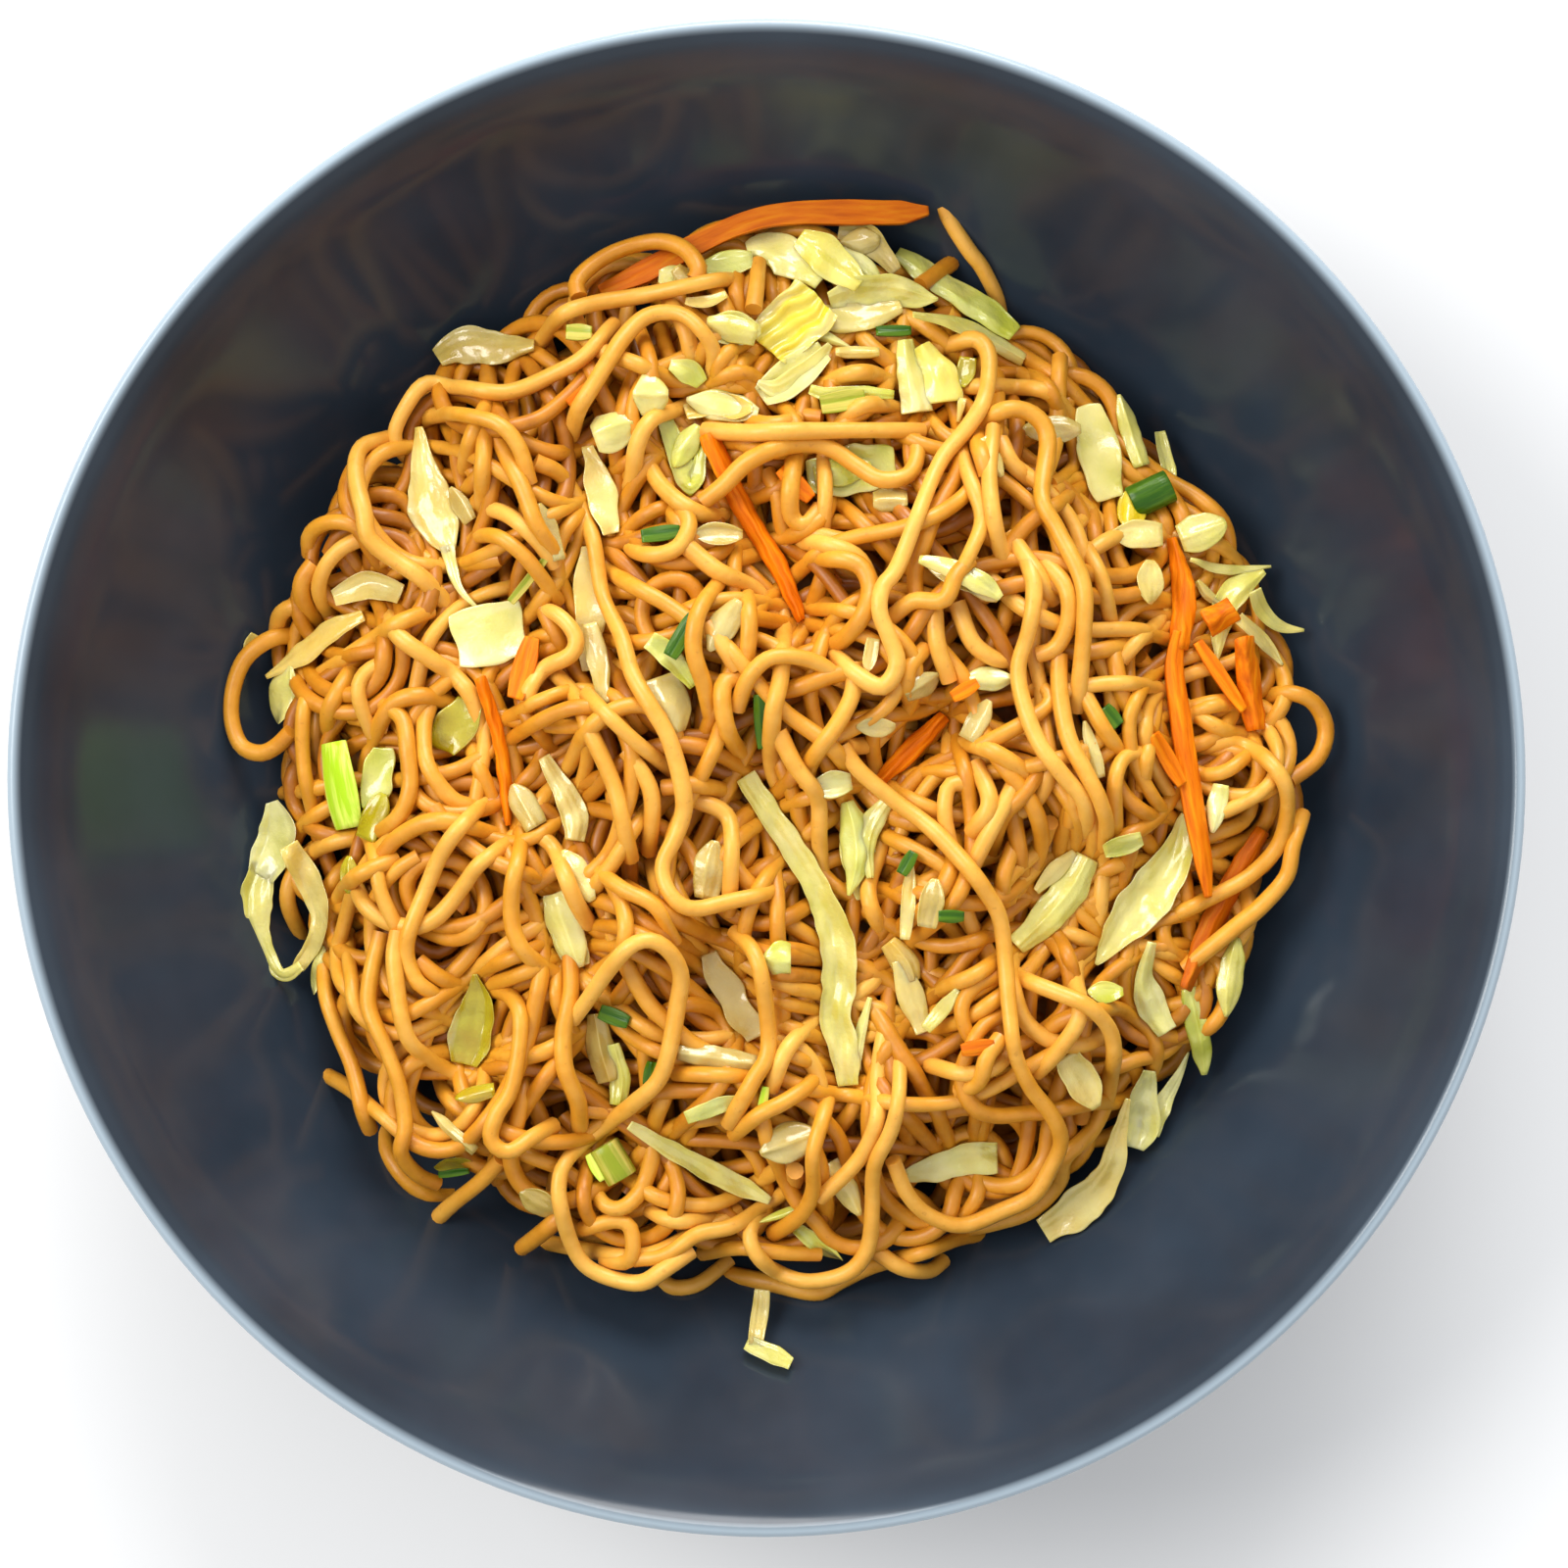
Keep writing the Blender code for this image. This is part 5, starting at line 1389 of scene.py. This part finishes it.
ONION_BITS = [
    (675, 546, 40, 16, 8, "dark"), (697, 651, 48, 18, 60, "dark"), (777, 737, 55, 15, -86, "dark"),
    (912, 337, 36, 12, 0, "dark"), (627, 1037, 32, 18, -20, "dark"), (664, 1094, 24, 14, 80, "dark"),
    (779, 1121, 30, 10, 80, "bright"), (968, 933, 26, 14, 0, "dark"), (925, 880, 26, 14, 60, "dark"),
    (1131, 732, 24, 18, -50, "dark"), (860, 411, 46, 22, 10, "soft"), (612, 1188, 30, 20, -60, "bright"),
    (540, 593, 58, 10, 50, "soft"), (593, 344, 26, 18, 0, "soft"), (467, 1192, 30, 8, 5, "dark"),
]


# How wide a cabbage scrap is at its two ends.
ENDS = ((0.7, 0.25), (0.2, 0.8), (0.6, 0.6), (0.15, 0.3))


def lay_bits():
    cabbage, carrot, onion = Bits("cabbage_bits"), Bits("carrot_bits"), Bits("onion_bits")
    for px, py, length, width, turn, shades in CABBAGE_BITS:
        widths = rounded(width * HEAP_PIXEL, ENDS[(px + py) % len(ENDS)])
        cabbage.lay(stick(px, py, length, turn), widths, CABBAGE_BIT_THICK * MM, LEAVES[shades])
    for shades, strip in CABBAGE_SCRAPS:
        path = [spot(px, py) for px, py, _ in strip]
        widths = [width * HEAP_PIXEL for *_, width in strip]
        cabbage.lay(path, widths, CABBAGE_BIT_THICK * MM, LEAVES[shades])
    for px, py, length, width, turn, dark in CARROT_BITS:
        widths = rounded(width * HEAP_PIXEL, (0.7, 0.6))
        carrot.lay(stick(px, py, length, turn), widths, CARROT_BIT_THICK * MM, rough=0.15, dark=dark)
    for px, py, length, width, turn, shades in ONION_BITS:
        widths = rounded(width * HEAP_PIXEL, (0.8, 0.7))
        onion.lay(stick(px, py, length, turn), widths, ONION_BIT_THICK * MM, ONIONS[shades], 0.3)
    cabbage.make(CABBAGE["pale_cabbage"], "pale_cabbage", 1)
    carrot.make(CARROT, "carrot")
    onion.make(ONION, "spring_onion")


# Stage, lights and camera.


def make_floor():
    bm = bmesh.new()
    bmesh.ops.create_circle(bm, cap_ends=True, segments=96, radius=3.0)
    mesh = bpy.data.meshes.new("floor")
    bm.to_mesh(mesh)
    bm.free()
    finish = Finish("pale floor", (0.72, 0.72, 0.72), 0.6)
    mesh.materials.append(finish.material)
    floor = bpy.data.objects.new("floor", mesh)
    bpy.context.scene.collection.objects.link(floor)


def add_light(name, place, size, power, colour=(1.0, 1.0, 1.0)):
    light = bpy.data.lights.new(name, "AREA")
    light.shape = "ELLIPSE"
    light.size, light.size_y = size
    light.energy = power
    light.color = colour
    made = bpy.data.objects.new(name, light)
    made.location = place
    made.rotation_euler = (Vector((0, 0, 0.03)) - Vector(place)).to_track_quat("-Z", "Y").to_euler()
    bpy.context.scene.collection.objects.link(made)


def make_light():
    world = bpy.data.worlds.new("soft room")
    world.use_nodes = True
    sky = world.node_tree.nodes["Background"]
    sky.inputs["Color"].default_value = (0.95, 0.97, 1.0, 1.0)
    sky.inputs["Strength"].default_value = 0.88
    bpy.context.scene.world = world
    add_light("window", (-1.30, 0.45, 1.45), (1.1, 1.1), 26.0, (1.0, 0.985, 0.96))
    add_light("low window", (0.15, 2.0, 1.05), (1.3, 1.7), 56.0)
    bpy.context.scene.view_settings.view_transform = "Standard"
    bpy.context.scene.view_settings.look = "None"


def make_camera():
    lens = bpy.data.cameras.new("overhead")
    lens.lens = LENS
    lens.sensor_width = SENSOR
    camera = bpy.data.objects.new("overhead", lens)
    camera.location = CAMERA
    bpy.context.scene.collection.objects.link(camera)
    bpy.context.scene.camera = camera


make_camera()
make_bowl()
make_core()
dress_vegetables()

pile = Pile()
room = room_for(KNOWN_NOODLES + CROSSING_NOODLES)
under_all, under_top, tucked_tops, other_tops = vegetable_grids()

# The deeper a layer lies, the darker and browner its shades: partly the noodles' own browning, partly painted
# shade for their depth.
deep = Noodles("noodles_deep", 8, 1.9 * MM)
fill(deep, DEEP_NOODLES // 2, under_all, -0.005, 0.35, (0.05, 0.45), (0.10, 0.20), SEED)
deep.make(SEED)
lower = Noodles("noodles_lower", 8, 1.6 * MM)
fill(lower, DEEP_NOODLES - DEEP_NOODLES // 2, under_all, -0.0025, 0.45, (0.10, 0.55), (0.10, 0.20), SEED + 1)
lower.make(SEED + 1)

upper = Noodles("noodles_upper", 10, 1.3 * MM)
fill(upper, UPPER_NOODLES, under_all, SHOWN_RISE, 0.6, (0.30, 0.75), (0.08, 0.18), SEED + 2)
upper.make(SEED + 2)

pile.add_grid(tucked_tops)
lay_bits()

shown = Noodles("noodles_shown", 10, 1.2 * MM)
lay_known(shown, KNOWN_NOODLES, under_top)
pile.add_grid(other_tops)
lay_known(shown, CROSSING_NOODLES, np.full(GRID_X.shape, NO_CEILING))
shown.make(SEED + 3)

make_floor()
make_light()
